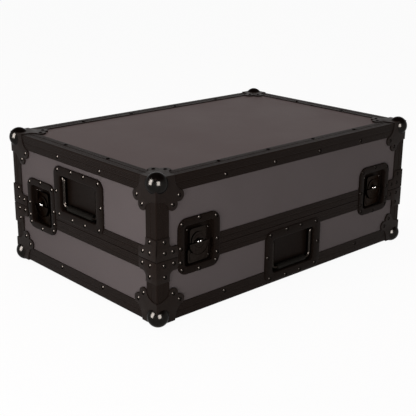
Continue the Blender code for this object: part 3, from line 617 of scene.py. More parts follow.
def laminate_finish():
    """Satin grey laminate: a fine stipple with a faint cloudiness."""
    material, tree, place = new_finish("panel_laminate", 0.5, 0.06)
    cloud = noise(tree, place, 6.0, 4.0)
    grain = noise(tree, place, 900.0, 2.0)
    tone = blend_colors(tree, remap(tree, cloud, 0, 1), (0.094, 0.080, 0.079), (0.106, 0.091, 0.091))
    speck = blend_colors(tree, remap(tree, grain, 0, 0.35), tone, (0.074, 0.063, 0.062))
    return dressed(material, speck, remap(tree, cloud, 0.46, 0.58), grain, 0.18, 0.0002)


def extrusion_finish():
    """Black anodised aluminium with fine lengthwise draw lines."""
    material, tree, place = new_finish("edge_extrusion", 0.40, 0.045, WARM)
    along = tree.nodes.new("ShaderNodeMapping")
    along.inputs["Scale"].default_value = (4.0, 1600.0, 1.0)
    tree.links.new(tree.nodes.new("ShaderNodeTexCoord").outputs["UV"], along.inputs["Vector"])
    lines = noise(tree, along.outputs["Vector"], 1.0, 2.0)
    scuff = noise(tree, place, 45.0, 5.0, 0.7)
    tone = blend_colors(
        tree, remap(tree, lines, 0, 1), (0.0072, 0.0046, 0.0036), (0.0122, 0.0082, 0.0065)
    )
    worn = blend_colors(tree, remap(tree, scuff, 0, 0.5, 0.62, 0.85), tone, (0.030, 0.024, 0.021))
    return dressed(material, worn, remap(tree, lines, 0.34, 0.48), lines, 0.12, 0.0001)


def painted_finish(name, dark, light, roughness, spread, specular, relief):
    """Black paint on pressed steel: faint unevenness and small scuffs."""
    material, tree, place = new_finish(name, roughness, specular, WARM)
    skin = noise(tree, place, 420.0, 3.0)
    scuff = noise(tree, place, 70.0, 6.0, 0.7)
    tone = blend_colors(tree, remap(tree, skin, 0, 1), dark, light)
    bared = tuple(channel * 2.4 for channel in light)
    worn = blend_colors(tree, remap(tree, scuff, 0, 0.6, 0.64, 0.86), tone, bared)
    rough = remap(tree, scuff, roughness - spread, roughness + spread)
    return dressed(material, worn, rough, skin, relief, 0.0002)


def plated_finish(name, dark, light, roughness, spread, edge):
    """Bright black plating: almost no sheen but clear highlights, with fine handling marks."""
    material, tree, place = new_finish(name, roughness, 0.5, (edge,) * 3)
    tree.nodes["Principled BSDF"].inputs["Metallic"].default_value = 1.0
    skin = noise(tree, place, 260.0, 4.0)
    marks = noise(tree, place, 90.0, 6.0, 0.7)
    tone = blend_colors(tree, remap(tree, skin, 0, 1), dark, light)
    rough = remap(tree, marks, roughness - spread, roughness + spread)
    return dressed(material, tone, rough, skin, 0.03, 0.0001)


def rubber_finish():
    """Moulded rubber with a fine matt skin."""
    material, tree, place = new_finish("grip_rubber", 0.50, 0.04, WARM)
    skin = noise(tree, place, 700.0, 3.0)
    tone = blend_colors(
        tree, remap(tree, skin, 0, 1), (0.0058, 0.0054, 0.0045), (0.0108, 0.0101, 0.0086)
    )
    return dressed(material, tone, remap(tree, skin, 0.55, 0.72), skin, 0.35, 0.0003)


def foam_finish():
    """Black cut foam: small open cells."""
    material, tree, place = new_finish("lining_foam", 0.95, 0.10)
    cells = tree.nodes.new("ShaderNodeTexVoronoi")
    cells.inputs["Scale"].default_value = 650.0
    tree.links.new(place, cells.inputs["Vector"])
    pores = remap(tree, cells.outputs["Distance"], 0, 1, 0.1, 0.6)
    tone = blend_colors(tree, pores, (0.014, 0.014, 0.015), (0.036, 0.036, 0.038))
    cloud = remap(tree, noise(tree, place, 30.0, 5.0), 0, 0.4)
    shade = blend_colors(tree, cloud, tone, (0.022, 0.022, 0.024))
    return dressed(material, shade, None, pores, 0.5, 0.0006)


def make_finishes():
    """Every finish by its name."""
    made = {name: painted_finish(name, *values) for name, values in PAINTED.items()}
    made |= {name: plated_finish(name, *values) for name, values in PLATED.items()}
    return made | {
        "panel_laminate": laminate_finish(), "edge_extrusion": extrusion_finish(),
        "grip_rubber": rubber_finish(), "lining_foam": foam_finish(),
    }


# Panels

def finish_panels():
    """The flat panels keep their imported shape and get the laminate."""
    for name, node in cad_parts.items():
        if name.endswith("_panel"):
            node.data.materials.clear()
            node.data.materials.append(FINISH["panel_laminate"])


# Extrusions

def ribbed_face(length, center):
    """Points (distance, depth) across a drawn face: fine grooves along it and a wide one."""
    points = [(EDGE_ROUND, 0.0)]
    groove = RIB_FIRST
    while groove + RIB_PITCH < length:
        wide = abs(groove - center) < RIB_PITCH / 2
        place = center if wide else groove
        width = CENTER_GROOVE_WIDTH if wide else RIB_WIDTH
        full = CENTER_GROOVE_DEPTH if wide else RIB_DEPTH
        for offset, depth in RIB_SHAPE:
            points.append((place + offset * width, depth * full))
        groove += RIB_PITCH
    points += [(length - LEG_CHAMFER, 0.0), (length, LEG_CHAMFER)]
    return points


def angle_profile():
    """Section of the edge angle: two ribbed legs and a round outer edge."""
    face = ribbed_face(EDGE_LEG, CENTER_GROOVE)
    first = [(across, depth) for across, depth in reversed(face)]
    second = [(depth, across) for across, depth in face]
    bend = arc((EDGE_ROUND, EDGE_ROUND), EDGE_ROUND, -pi / 2, -pi, 5)[1:-1]
    inner = EDGE_THICKNESS
    return [(inner, inner), (EDGE_LEG, inner)] + first + bend + second + [(inner, EDGE_LEG)]


def girths(outline):
    """Distance round an outline to each of its points, and once round."""
    total, made = 0.0, [0.0]
    for first, second in zip(outline, outline[1:] + outline[:1]):
        total += hypot(second[0] - first[0], second[1] - first[1])
        made.append(total)
    return made


def drawn_skin(bm, layer, first, second, girth, half):
    """Quads between two rings of a section, with their run and girth as UVs."""
    for step in range(len(first)):
        following = (step + 1) % len(first)
        face = bm.faces.new((first[step], first[following], second[following], second[step]))
        places = ((-half, step), (-half, step + 1), (half, step + 1), (half, step))
        for loop, (run, index) in zip(face.loops, places):
            loop[layer].uv = (run, girth[index])


def drawn_length(outline, origin, across, down, half):
    """A straight length of a section."""
    origin, across, down = Vector(origin), Vector(across), Vector(down)
    along = across.cross(down)
    bm = bmesh.new()
    layer = bm.loops.layers.uv.new("run")
    rings = [
        [bm.verts.new(origin + across * u + down * v + along * run) for u, v in outline]
        for run in (-half, half)
    ]
    drawn_skin(bm, layer, *rings, girths(outline), half)
    for ring in rings:
        bm.faces.new(ring)
    return mesh_from(bm)


def edge_frame_mesh(level, toward, post_end):
    """Angles along one deck's four edges and up its four posts."""
    profile, down = angle_profile(), (0, 0, toward)
    long_run, short_run = HALF_LENGTH - EDGE_END, HALF_WIDTH - EDGE_END
    lengths = []
    for sign in (-1, 1):
        lengths += [
            drawn_length(profile, (0, sign * HALF_WIDTH, level), (0, -sign, 0), down, long_run),
            drawn_length(profile, (sign * HALF_LENGTH, 0, level), (-sign, 0, 0), down, short_run),
        ]
    post_start = level + toward * EDGE_END
    for sx, sy, _ in CORNERS.values():
        lengths.append(drawn_length(
            profile, (sx * HALF_LENGTH, sy * HALF_WIDTH, (post_start + post_end) / 2),
            (-sx, 0, 0), (0, -sy, 0), abs(post_end - post_start) / 2,
        ))
    return lengths


def handle_notch():
    """The space that the front handle's dish takes out of the lower front strip."""
    half = HANDLE_RECESS_HALF + DISH_WALL + GAP
    bottom = HANDLE_FRONT_HEIGHT - HANDLE_RECESS_DOWN - DISH_WALL - GAP
    y = -HALF_WIDTH
    return block((-half, y - REACH, bottom), (half, y + PANEL_FACE + GAP, SPLIT))


def make_edge_frames():
    """The drawn angles of the lid and the base."""
    lid = merged(*edge_frame_mesh(CASE_TOP, -1, RIM_UPPER + GAP))
    add("lid_edge_angles", lid, "edge_extrusion", "lid", stands_for=("lid_edge_frame",))
    lengths = edge_frame_mesh(CASE_BOTTOM, 1, RIM_LOWER - GAP)
    lengths[0] = cut(lengths[0], handle_notch())
    add("base_edge_angles", merged(*lengths), "edge_extrusion", "base",
        stands_for=("base_edge_frame",))


def rim_profile(direction):
    """Section of a parting-line extrusion as (depth, level from the parting line)."""
    face = [
        (depth, across - EDGE_ROUND + SPLIT_GAP / 2 + RIM_CHAMFER)
        for across, depth in ribbed_face(
            RIM_HEIGHT + EDGE_ROUND - SPLIT_GAP / 2 - RIM_CHAMFER, RIM_HEIGHT / 2 + EDGE_ROUND
        )
    ]
    start = SPLIT_GAP / 2
    points = [(RIM_CHAMFER, start)] + face + [
        (EDGE_THICKNESS, RIM_HEIGHT), (EDGE_THICKNESS, RIM_WEB), (RIM_SLOT_BACK, RIM_WEB),
        (RIM_SLOT_BACK, RIM_HEIGHT), (RIM_DEPTH, RIM_HEIGHT), (RIM_DEPTH, start),
    ]
    if direction > 0:
        front, back = TONGUE_SETBACK - GAP, TONGUE_SETBACK + TONGUE_WIDTH + GAP
        points += [(back, start), (back, GROOVE_DEPTH), (front, GROOVE_DEPTH), (front, start)]
        return points
    front, back = TONGUE_SETBACK, TONGUE_SETBACK + TONGUE_WIDTH
    top = TONGUE_TOP - SPLIT
    chamfer = RIM_CHAMFER
    points = [(depth, -level) for depth, level in points]
    return points + [
        (back, -start), (back, top - chamfer), (back - chamfer, top), (front + chamfer, top),
        (front, top - chamfer), (front, -start),
    ]


def rim_ring(profile):
    """A section carried round the four sides, mitred at the corners."""
    bm = bmesh.new()
    layer = bm.loops.layers.uv.new("run")
    girth = girths(profile)
    rings = [
        [bm.verts.new((sx * (HALF_LENGTH - d), sy * (HALF_WIDTH - d), SPLIT + z)) for d, z in profile]
        for sx, sy in ((-1, -1), (1, -1), (1, 1), (-1, 1))
    ]
    for quarter, half in enumerate((HALF_LENGTH, HALF_WIDTH) * 2):
        drawn_skin(bm, layer, rings[quarter], rings[(quarter + 1) % 4], girth, half)
    return mesh_from(bm)


def latch_notches():
    """Boxes where the latch dishes pass through the rims."""
    half = LATCH_RECESS_HALF + DISH_WALL + GAP
    deepest = RIM_SLOT_BACK + GAP / 2
    low, high = RIM_LOWER - REACH, RIM_UPPER + REACH
    notch = block((-half, -REACH, low), (half, deepest, high))
    return merged(*[(notch, place) for place in LATCH_STATIONS.values()])


def make_rims():
    """The tongue and groove extrusions at the parting line."""
    for half, direction in (("lid", 1), ("base", -1)):
        ring = cut(rim_ring(rim_profile(direction)), latch_notches())
        add(f"{half}_rim_extrusion", ring, "edge_extrusion", half, stands_for=(f"{half}_rim",))


# Ball corners

def leaf_outline():
    """Clover leaf of a ball corner on one face: two round lobes and a hollow to each edge."""
    spacing = (LEAF_RIVET_FAR - LEAF_RIVET_NEAR) / 2
    valley = acos(spacing * sqrt(2) / LEAF_LOBE_RADIUS)
    shoulder = pi - acos((LEAF_RIVET_NEAR - LEAF_NOTCH_WIDTH) / LEAF_LOBE_RADIUS)
    lobe = arc((LEAF_RIVET_NEAR, LEAF_RIVET_FAR), LEAF_LOBE_RADIUS, shoulder, valley - pi / 4, 18)
    rise = lobe[0][1] - LEAF_EDGE_REACH
    hollow = [(-PLATE_PROUD, LEAF_EDGE_REACH)]
    for step in range(12):
        turn = pi / 2 * step / 12
        hollow.append((LEAF_NOTCH_WIDTH * sin(turn), LEAF_EDGE_REACH + rise * (1 - cos(turn))))
    half = hollow + lobe
    return [(-PLATE_PROUD, -PLATE_PROUD)] + half + [(v, u) for u, v in reversed(half)]


def corner_cutter():
    """The space of the case inside a ball corner, apart from what its leaves fill on the panels."""
    reach = LEAF_RIVET_FAR + 2 * LEAF_LOBE_RADIUS
    cutter = block((-GAP,) * 3, (reach,) * 3)
    inner, outer = EDGE_LEG + GAP, reach + REACH
    pads = []
    for turn in THREE_FACES:
        pad = block((inner, inner, -REACH), (outer, outer, EDGE_THICKNESS))
        pad.transform(turn)
        pads.append(pad)
    return cut(cutter, *pads)


def ball_mesh(radius):
    """A whole ball about the point where a corner's ball is centred."""
    bm = bmesh.new()
    bmesh.ops.create_uvsphere(bm, u_segments=96, v_segments=48, radius=radius)
    bmesh.ops.translate(bm, vec=(BALL_INSET,) * 3, verts=bm.verts)
    return mesh_from(bm)


def ball_corner_mesh(with_foot):
    """Leaves and ball of a corner, for the octant where X, Y and Z grow into the case."""
    solids = [ball_mesh(BALL_RADIUS)]
    for turn in THREE_FACES:
        solids.append(plate([leaf_outline()], -PLATE_PROUD, LEAF_BACKING, SOFT_BEVEL, turn))

    def pressed(holder):
        remesh = holder.modifiers.new("skin", "REMESH")
        remesh.mode = "VOXEL"
        remesh.voxel_size = CORNER_VOXEL
        smooth = holder.modifiers.new("press", "SMOOTH")
        smooth.iterations = CORNER_SMOOTHING
        thin = holder.modifiers.new("thin", "DECIMATE")
        thin.ratio = CORNER_RATIO

    mesh = evaluated(merged(*solids), pressed)
    center = Vector((BALL_INSET,) * 3)
    for vertex in mesh.vertices:
        offset = vertex.co - center
        if abs(offset.length - BALL_RADIUS) < BALL_SNAP:
            vertex.co = center + offset.normalized() * BALL_RADIUS
        else:
            for axis in range(3):
                if abs(vertex.co[axis] + PLATE_PROUD) < LEAF_SNAP:
                    vertex.co[axis] = -PLATE_PROUD
    tools = [corner_cutter()]
    if with_foot:
        floor = -CASE_BOTTOM
        tools.append(block((-REACH * 3, -REACH * 3, floor - REACH), (REACH * 5, REACH * 5, floor)))
    leaves = cut(mesh, ball_mesh(BALL_RADIUS + GAP / 3), *tools)
    return leaves, cut(ball_mesh(BALL_RADIUS), *tools)


def make_ball_corners():
    """Eight ball corners, each a plated ball in its leaves. The base's four have worn flats."""
    meshes = {"base": ball_corner_mesh(True), "lid": ball_corner_mesh(False)}
    for place, (sx, sy, quarter) in CORNERS.items():
        for half, level in (("base", CASE_BOTTOM), ("lid", CASE_TOP)):
            turn = Matrix.Rotation(quarter * pi / 2, 4, "Z")
            if half == "lid":
                turn = Matrix.Rotation((quarter + 1) * pi / 2, 4, "Z") @ Matrix.Rotation(pi, 4, "X")
            at = Matrix.Translation((sx * HALF_LENGTH, sy * HALF_WIDTH, level)) @ turn
            leaves, ball = meshes[half]
            name = f"{half}_ball_corner_{place}"
            add(f"{name}_pressing", leaves, "corner_leaf", half, at, (name,))
            add(f"{name}_ball", ball, "corner_steel", half, at)


# Braces

def brace_outline(direction):
    """Outline of a brace on one face, rising with direction +1 or falling with -1."""
    start = BRACE_SEAM / 2
    fillet = arc(
        (BRACE_POST_WIDTH + BRACE_FILLET, RIM_HEIGHT + BRACE_FILLET), BRACE_FILLET,
        -pi / 2, -pi, 10,
    )
    points = [
        (-PLATE_PROUD, start), (BRACE_REACH, start), (BRACE_REACH, BRACE_ARM_HEIGHT),
        (BRACE_REACH - BRACE_CHAMFER, RIM_HEIGHT), *fillet,
        (BRACE_POST_WIDTH, BRACE_POST_REACH), (-PLATE_PROUD, BRACE_POST_REACH),
    ]
    return [(u, v * direction) for u, v in points]


def brace_mesh(direction):
    """A bent sheet that wraps the corner where +X and +Y grow into the case."""
    bm = bmesh.new()
    outline = brace_outline(direction)
    front = [bm.verts.new((u, -PLATE_PROUD, v)) for u, v in outline]
    back = [bm.verts.new((max(u, -GAP), -GAP, v)) for u, v in outline]
    side = [bm.verts.new((-PLATE_PROUD, u, v)) for u, v in outline]
    side_back = [bm.verts.new((-GAP, max(u, -GAP), v)) for u, v in outline]
    for face in (front, back, side, side_back):
        bm.faces.new(face)
    for outer, inner in ((front, back), (side, side_back)):
        for step in range(len(outline) - 1):
            bm.faces.new((outer[step], outer[step + 1], inner[step + 1], inner[step]))
    bmesh.ops.remove_doubles(bm, verts=bm.verts, dist=WELD)
    proud = -PLATE_PROUD
    posts = [
        edge for edge in bm.edges
        if all(max(abs(v.co.x - proud), abs(v.co.y - proud)) < WELD for v in edge.verts)
    ]
    bmesh.ops.bevel(
        bm, geom=posts, offset=BRACE_POST_ROUND, segments=5, profile=0.5, affect="EDGES"
    )
    return beveled(mesh_from(bm), SHEET_BEVEL, 2)


def make_braces():
    """One brace above and one below the parting line at each post."""
    for half, direction in (("lid", 1), ("base", -1)):
        mesh = brace_mesh(direction)
        for place, (sx, sy, quarter) in CORNERS.items():
            at = Matrix.Translation((sx * HALF_LENGTH, sy * HALF_WIDTH, SPLIT))
            name = f"{half}_corner_brace_{place}"
            add(f"{name}_sheet", mesh, "brace_steel", half,
                at @ Matrix.Rotation(quarter * pi / 2, 4, "Z"), (name,))


# Pressed dishes

def pressed_dish(flange, recess, floor):
    """A drawn dish: a rolled skirt, a flange, a round lip, drafted walls and a filleted floor.

    The flange and the recess are each given as half width, bottom, top and corner radius.
    """
    bm = bmesh.new()

    def ring(shape, grow, depth):
        half, bottom, top, corner = shape
        outline = rounded_rectangle(
            -half - grow, half + grow, bottom - grow, top + grow, corner + grow
        )
        return [bm.verts.new((x, depth, z)) for x, z in outline]

    face, wall = -FLANGE_PROUD, DISH_WALL
    roll, lip, fillet, draft = FLANGE_ROLL, DISH_LIP, DISH_FILLET, DISH_DRAFT
    outer = [ring(flange, 0.0, SKIRT_END)]
    outer += [ring(flange, -roll * (1 - cos(t)), face + roll * (1 - sin(t))) for t in QUARTER]
    outer += [ring(recess, lip * (1 - sin(t)), face + lip * (1 - cos(t))) for t in QUARTER]
    outer += [
        ring(recess, -draft - fillet * (1 - cos(t)), floor - fillet * (1 - sin(t))) for t in QUARTER
    ]
    inner = [
        ring(recess, wall - draft - (fillet + wall) * (1 - cos(t)),
             floor + wall - (fillet + wall) * (1 - sin(t)))
        for t in reversed(QUARTER)
    ]
    inner += [
        ring(recess, lip - (lip - wall) * sin(t), face + lip - (lip - wall) * cos(t))
        for t in reversed(QUARTER)
    ]
    inner += [
        ring(flange, -roll + (roll - wall) * cos(t), face + roll - (roll - wall) * sin(t))
        for t in reversed(QUARTER)
    ]
    inner.append(ring(flange, -wall, SKIRT_END))
    loft(bm, outer)
    loft(bm, inner)
    loft(bm, [inner[-1], outer[0]])
    bm.faces.new(outer[-1])
    bm.faces.new(inner[0])
    return mesh_from(bm)


def latch_dish_pair():
    """The latch dish parted at the parting line, with the keeper bar on its lower half."""
    flange = (LATCH_HALF, -LATCH_DROP, LATCH_RISE, LATCH_CORNER)
    recess = (
        LATCH_RECESS_HALF, LATCH_FLANGE_BOTTOM - LATCH_DROP, LATCH_RISE - LATCH_FLANGE_TOP,
        LATCH_RECESS_CORNER,
    )
    dish = pressed_dish(flange, recess, LATCH_FLOOR)
    inner = LATCH_RECESS_HALF + DISH_WALL + GAP / 2
    band = RIM_HEIGHT + GAP
    outside = LATCH_HALF + REACH
    for sign in (-1, 1):
        x0, x1 = sorted((sign * inner, sign * outside))
        dish = cut(dish, block((x0, -GAP, -band), (x1, REACH, band)))
    halves = []
    far = LATCH_RISE + REACH
    for keep in (1, -1):
        low, high = sorted((keep * SPLIT_GAP / 2, -keep * far))
        halves.append(cut(dish.copy(), block((-outside, -REACH, low), (outside, 3 * REACH, high))))
    bar = block((-CATCH_HALF, CATCH_FRONT, CATCH_UNDERSIDE), (CATCH_HALF, LATCH_FLOOR + GAP, CATCH_TOP))
    return halves[0], merged(halves[1], beveled(bar, KEEPER_BEVEL, 3))


def bail_bands(front):
    """Spaces behind the handle flange where it laps an extrusion, from the dish's centre."""
    wide = HANDLE_HALF + REACH
    inner = HANDLE_RECESS_HALF + DISH_WALL + GAP / 2
    if not front:
        top = RIM_UPPER + GAP - HANDLE_END_HEIGHT
        return [block((-wide, -GAP, -wide), (wide, REACH, top))]
    rim = RIM_LOWER - GAP - HANDLE_FRONT_HEIGHT
    strip = CASE_BOTTOM + EDGE_LEG + GAP - HANDLE_FRONT_HEIGHT
    below = -HANDLE_RECESS_DOWN - DISH_WALL - GAP / 2
    return [
        block((-wide, -GAP, rim), (wide, REACH, wide)),
        block((-wide, -GAP, -wide), (wide, REACH, below)),
        block((-wide, -GAP, below - GAP), (-inner, REACH, strip)),
        block((inner, -GAP, below - GAP), (wide, REACH, strip)),
    ]


def handle_dish_mesh(front):
    """The handle dish with its two pin holes and their bushes."""
    flange = (HANDLE_HALF, -HANDLE_RISE, HANDLE_RISE, HANDLE_CORNER)
    recess = (HANDLE_RECESS_HALF, -HANDLE_RECESS_DOWN, HANDLE_RECESS_UP, HANDLE_RECESS_CORNER)
    dish = pressed_dish(flange, recess, HANDLE_FLOOR)
    for band in bail_bands(front):
        dish = cut(dish, band)
    pivot = Matrix.Translation((0, BAIL_PIVOT_DEPTH, BAIL_PIVOT_UP))
    ends = [(0, -HANDLE_HALF), (PIN_HOLE_RADIUS, -HANDLE_HALF)]
    pin = turned(ends + [(radius, -along) for radius, along in reversed(ends)], "X", 24)
    pin.transform(pivot)
    dish = cut(dish, pin)
    return merged(dish, (bush_mesh(), pivot), (bush_mesh(), pivot @ Matrix.Rotation(pi, 4, "Z")))


def bush_mesh():
    """A flanged bush in the right wall of a handle dish."""
    inner = PIN_HOLE_RADIUS - GAP / 2
    face = HANDLE_RECESS_HALF - DISH_DRAFT - BUSH_PROUD
    back = HANDLE_RECESS_HALF + DISH_WALL + GAP
    profile = [
        (inner, face + GAP), (inner + GAP, face), (BUSH_RADIUS - GAP, face),
        (BUSH_RADIUS, face + GAP), (BUSH_RADIUS, HANDLE_RECESS_HALF),
        (inner + 2 * GAP, HANDLE_RECESS_HALF), (inner + 2 * GAP, back), (inner, back),
        (inner, face + GAP),
    ]
    return welded(turned(profile, "X", 28))


# Latch mechanism

def rotor_mesh():
    """The turning disc with its dimple and ring groove, its shaft and the two lugs of the wing."""
    front, back, rim, slope = ROTOR_FRONT, ROTOR_BACK, ROTOR_RADIUS, ROTOR_SLOPE
    groove_out = rim - RING_GROOVE_INSET
    groove_in = groove_out - RING_GROOVE_WIDTH
    end = LATCH_FLOOR - GAP
    disc = turned([
        (0, front + DIMPLE_DEPTH), (DIMPLE_RADIUS, front + DIMPLE_DEPTH),
        (DIMPLE_RADIUS + slope, front),
        (groove_in, front), (groove_in + slope, front + slope), (groove_out - slope, front + slope),
        (groove_out, front), (rim - ROTOR_ROUND, front),
        (rim - ROTOR_BULGE, front + ROTOR_BULGE), (rim, front + ROTOR_ROUND),
        (rim, back - GAP), (rim - GAP, back), (SHAFT_RADIUS, back), (SHAFT_RADIUS, end - GAP),
        (SHAFT_RADIUS - GAP, end), (0, end),
    ], "Y", 64)
    half, root = LUG_HEIGHT / 2, front + 2 * slope
    center = half - LUG_PROUD
    outline = [(root, half), *arc((center, 0), half, pi / 2, 3 * pi / 2, 10), (root, -half)]
    lugs = []
    for sign in (-1, 1):
        low, high = sorted((sign * (WING_NECK + GAP), sign * (WING_NECK + GAP + LUG_WIDTH)))
        lugs.append(plate([outline], low, high, THIN_BEVEL, SIDEWAYS))
    return merged(disc, *lugs)


def wing_mesh():
    """The folding half-round wing with its bead, its finger line and its barrel."""
    half, fold = WING_THICKNESS / 2, -WING_SETBACK
    neck = [(WING_NECK, 0.0), (-WING_NECK, 0.0), (-WING_NECK, fold)]
    bow = arc((0, fold), WING_RADIUS, pi, 2 * pi, 40)
    body = plate([neck + bow + [(WING_NECK, fold)]], -half, half, PAD_BEVEL)
    lines = []
    for drop, radius, end, steps in (
        (WING_BEAD_INSET, WING_RADIUS - WING_BEAD_INSET, WING_BEAD_END, 40),
        (0.0, WING_RADIUS * FINGER_LINE_SHARE, FINGER_LINE_END, 18),
    ):
        bend = arc((0, fold - drop), radius, pi + end, 2 * pi - end, steps)
        lines.append(wire([(x, -half, z) for x, z in bend], WING_BEAD_RADIUS, 3))
    end, thick = WING_NECK, WING_BARREL_RADIUS
    barrel = turned([
        (0, -end), (thick - GAP, -end), (thick, GAP - end), (thick, end - GAP), (thick - GAP, end),
        (0, end),
    ], "X", 20)
    return merged(body, *lines, barrel)


def wing_heads_mesh():
    """The two heads that hold the wing to its barrel. Their light metal colour is a painted highlight:
    it stands in for glints of the lamps on the latch's centre.
    """
    head = dome_mesh(WING_HEAD_RADIUS, WING_HEAD_HEIGHT)
    level = GAP - WING_THICKNESS / 2
    return merged(*[
        (head, Matrix.Translation((sign * WING_HEAD_SPACING, level, -WING_HEAD_DROP)))
        for sign in (-1, 1)
    ])


def hook_mesh():
    """The hook plate behind the rotor: a slot, a raised pad and the turned-in lip."""
    def corner(x, z, start):
        return arc((x, z), HOOK_CORNER, start, start + pi / 2, 7)

    waist, inset, low, pad_inset = -ROTOR_RADIUS, HOOK_CORNER, -HOOK_BOTTOM, HOOK_PAD_INSET
    outline = corner(HOOK_NECK_HALF - inset, HOOK_TOP - inset, 0.0)
    outline += corner(inset - HOOK_NECK_HALF, HOOK_TOP - inset, pi / 2)
    outline += [(-HOOK_NECK_HALF, waist + inset), (-HOOK_HALF, waist)]
    outline += corner(inset - HOOK_HALF, inset + low, pi)
    outline += corner(HOOK_HALF - inset, inset + low, 3 * pi / 2)
    outline += [(HOOK_HALF, waist), (HOOK_NECK_HALF, waist + inset)]
    slot = arc((0, 0), SLOT_RADIUS, 0, pi, 16)
    slot += arc((0, -HOOK_TRAVEL_UP), SLOT_RADIUS, pi, 2 * pi, 16)
    body = plate([outline, slot], HOOK_FRONT, HOOK_FRONT + HOOK_THICKNESS, THIN_BEVEL)
    pad = rounded_rectangle(
        pad_inset - HOOK_HALF, HOOK_HALF - pad_inset, pad_inset + low, waist - HOOK_PAD_DROP,
        HOOK_PAD_CORNER,
    )
    raised = plate([pad], HOOK_FRONT - HOOK_PAD_PROUD, HOOK_FRONT + 2 * GAP, PAD_BEVEL)
    lip = block(
        (-HOOK_LIP_HALF, HOOK_FRONT + PAD_BEVEL, low),
        (HOOK_LIP_HALF, HOOK_LIP_BACK, HOOK_LIP_THICKNESS + low),
    )
    return merged(body, raised, beveled(lip, SOFT_BEVEL, 2))


def make_latches():
    """Four latches: two dish halves, a rotor, its folding wing and the hook it drives."""
    lid_dish, base_dish = latch_dish_pair()
    rotor, wing, hook, heads = rotor_mesh(), wing_mesh(), hook_mesh(), wing_heads_mesh()
    rise = Matrix.Translation((0, 0, ROTOR_RISE))
    for place, at in LATCH_STATIONS.items():
        at = at @ Matrix.Translation((0, 0, SPLIT))
        axle = at @ rise
        axis = axle @ Matrix.Translation((0, -WING_AXIS_PROUD, 0))
        pieces = (
            ("latch_dish", "pressing", lid_dish, "dish_steel", "lid", at),
            ("catch_dish", "pressing", base_dish, "dish_steel", "base", at),
            ("latch_hook", "plate", hook, "latch_steel", f"latch_hook_{place}", axle),
            ("latch_rotor", "disc", rotor, "latch_steel", f"latch_rotor_{place}", axle),
            ("latch_wing", "plate", wing, "latch_steel", f"latch_wing_{place}", axis),
        )
        for node, form, mesh, finish, body, where in pieces:
            add(f"{node}_{place}_{form}", mesh, finish, body, where, (f"{node}_{place}",))
        name = f"latch_wing_{place}"
        # The heads' light metal colour is a painted highlight in place of the lamps' glints
        add(f"{name}_heads", heads, "painted_glint_steel", name, axis)


# Handles

def bail_mesh():
    """The bent wire bail, from its left pin to its right pin."""
    left = [(-HANDLE_RECESS_HALF - DISH_WALL, 0.0)]
    left += arc((-BAIL_ARM - BAIL_TOP_BEND, -BAIL_TOP_BEND), BAIL_TOP_BEND, pi / 2, 0, 8)
    low = (BAIL_LOW_BEND - BAIL_ARM, BAIL_LOW_BEND - BAIL_DROP)
    left += arc(low, BAIL_LOW_BEND, pi, 3 * pi / 2, 12)
    route = left + [(-x, z) for x, z in reversed(left)]
    return wire([(x, 0, z) for x, z in route], BAIL_WIRE_RADIUS, 8)


def grip_mesh():
    """A moulded sleeve with a slight round at each end and fine rings."""
    half, bore = GRIP_LENGTH / 2, BAIL_WIRE_RADIUS + GAP
    shoulder, mouth = GRIP_RADIUS - GRIP_ROUND, bore + 2 * GAP
    start, stop = GRIP_RINGED
    profile = [(bore, -half), (mouth, -half), (shoulder, GRIP_CHAMFER - half)]
    for step in range(GRIP_STEPS + 1):
        along = GRIP_END - half + (GRIP_LENGTH - 2 * GRIP_END) * step / GRIP_STEPS
        ringed = start < abs(along) / half < stop
        ring = GRIP_RING_DEPTH * max(0.0, cos(pi * step / GRIP_RING_STEPS)) if ringed else 0.0
        profile.append((GRIP_RADIUS - GRIP_SKIN - ring, along))
    profile += [(shoulder, half - GRIP_CHAMFER), (mouth, half), (bore, half), (bore, -half)]
    return welded(turned(profile, "X", 40))


def make_handles():
    """Three handles: the end pair is on the lid and the front one on the base."""
    dishes = {True: handle_dish_mesh(True), False: handle_dish_mesh(False)}
    bail, grip = bail_mesh(), grip_mesh()
    for side, at in HANDLE_STATIONS.items():
        front = side == "front"
        pivot = at @ Matrix.Translation((0, BAIL_PIVOT_DEPTH, BAIL_PIVOT_UP))
        low = pivot @ Matrix.Translation((0, 0, -BAIL_DROP))
        name = f"{side}_handle"
        half = "base" if front else "lid"
        add(f"{name}_dish_pressing", dishes[front], "dish_steel", half, at, (f"{name}_dish",))
        add(f"{name}_bail_wire", bail, "bail_steel", f"{side}_bail", pivot, (f"{name}_bail",))
        add(f"{name}_grip_sleeve", grip, "grip_rubber", f"{side}_bail", low, (f"{name}_grip",))


# Rivets

def dome_mesh(radius, height):
    """A low domed head, with its base just below the local plane and its crown towards -Y."""
    bulge = (radius * radius + height * height) / (2 * height)
    widest = asin(radius / bulge)
    profile = [(0, DOME_SUNK), (radius, DOME_SUNK)]
    for step in range(5, 0, -1):
        turn = widest * step / 5
        profile.append((bulge * sin(turn), bulge - height - bulge * cos(turn)))
    return turned(profile + [(0, -height)], "Y", 20)


def deck_of(half):
    """The outer deck of a half, its level and the direction from it into the case."""
    return ("top", CASE_TOP, -1) if half == "lid" else ("bottom", CASE_BOTTOM, 1)


def post_stations(sx, sy, along, height):
    """Places at a distance from a post on the two sides that meet there."""
    return [
        station("front" if sy < 0 else "rear", sx * (HALF_LENGTH - along), height),
        station("left" if sx < 0 else "right", sy * (HALF_WIDTH - along), height),
    ]


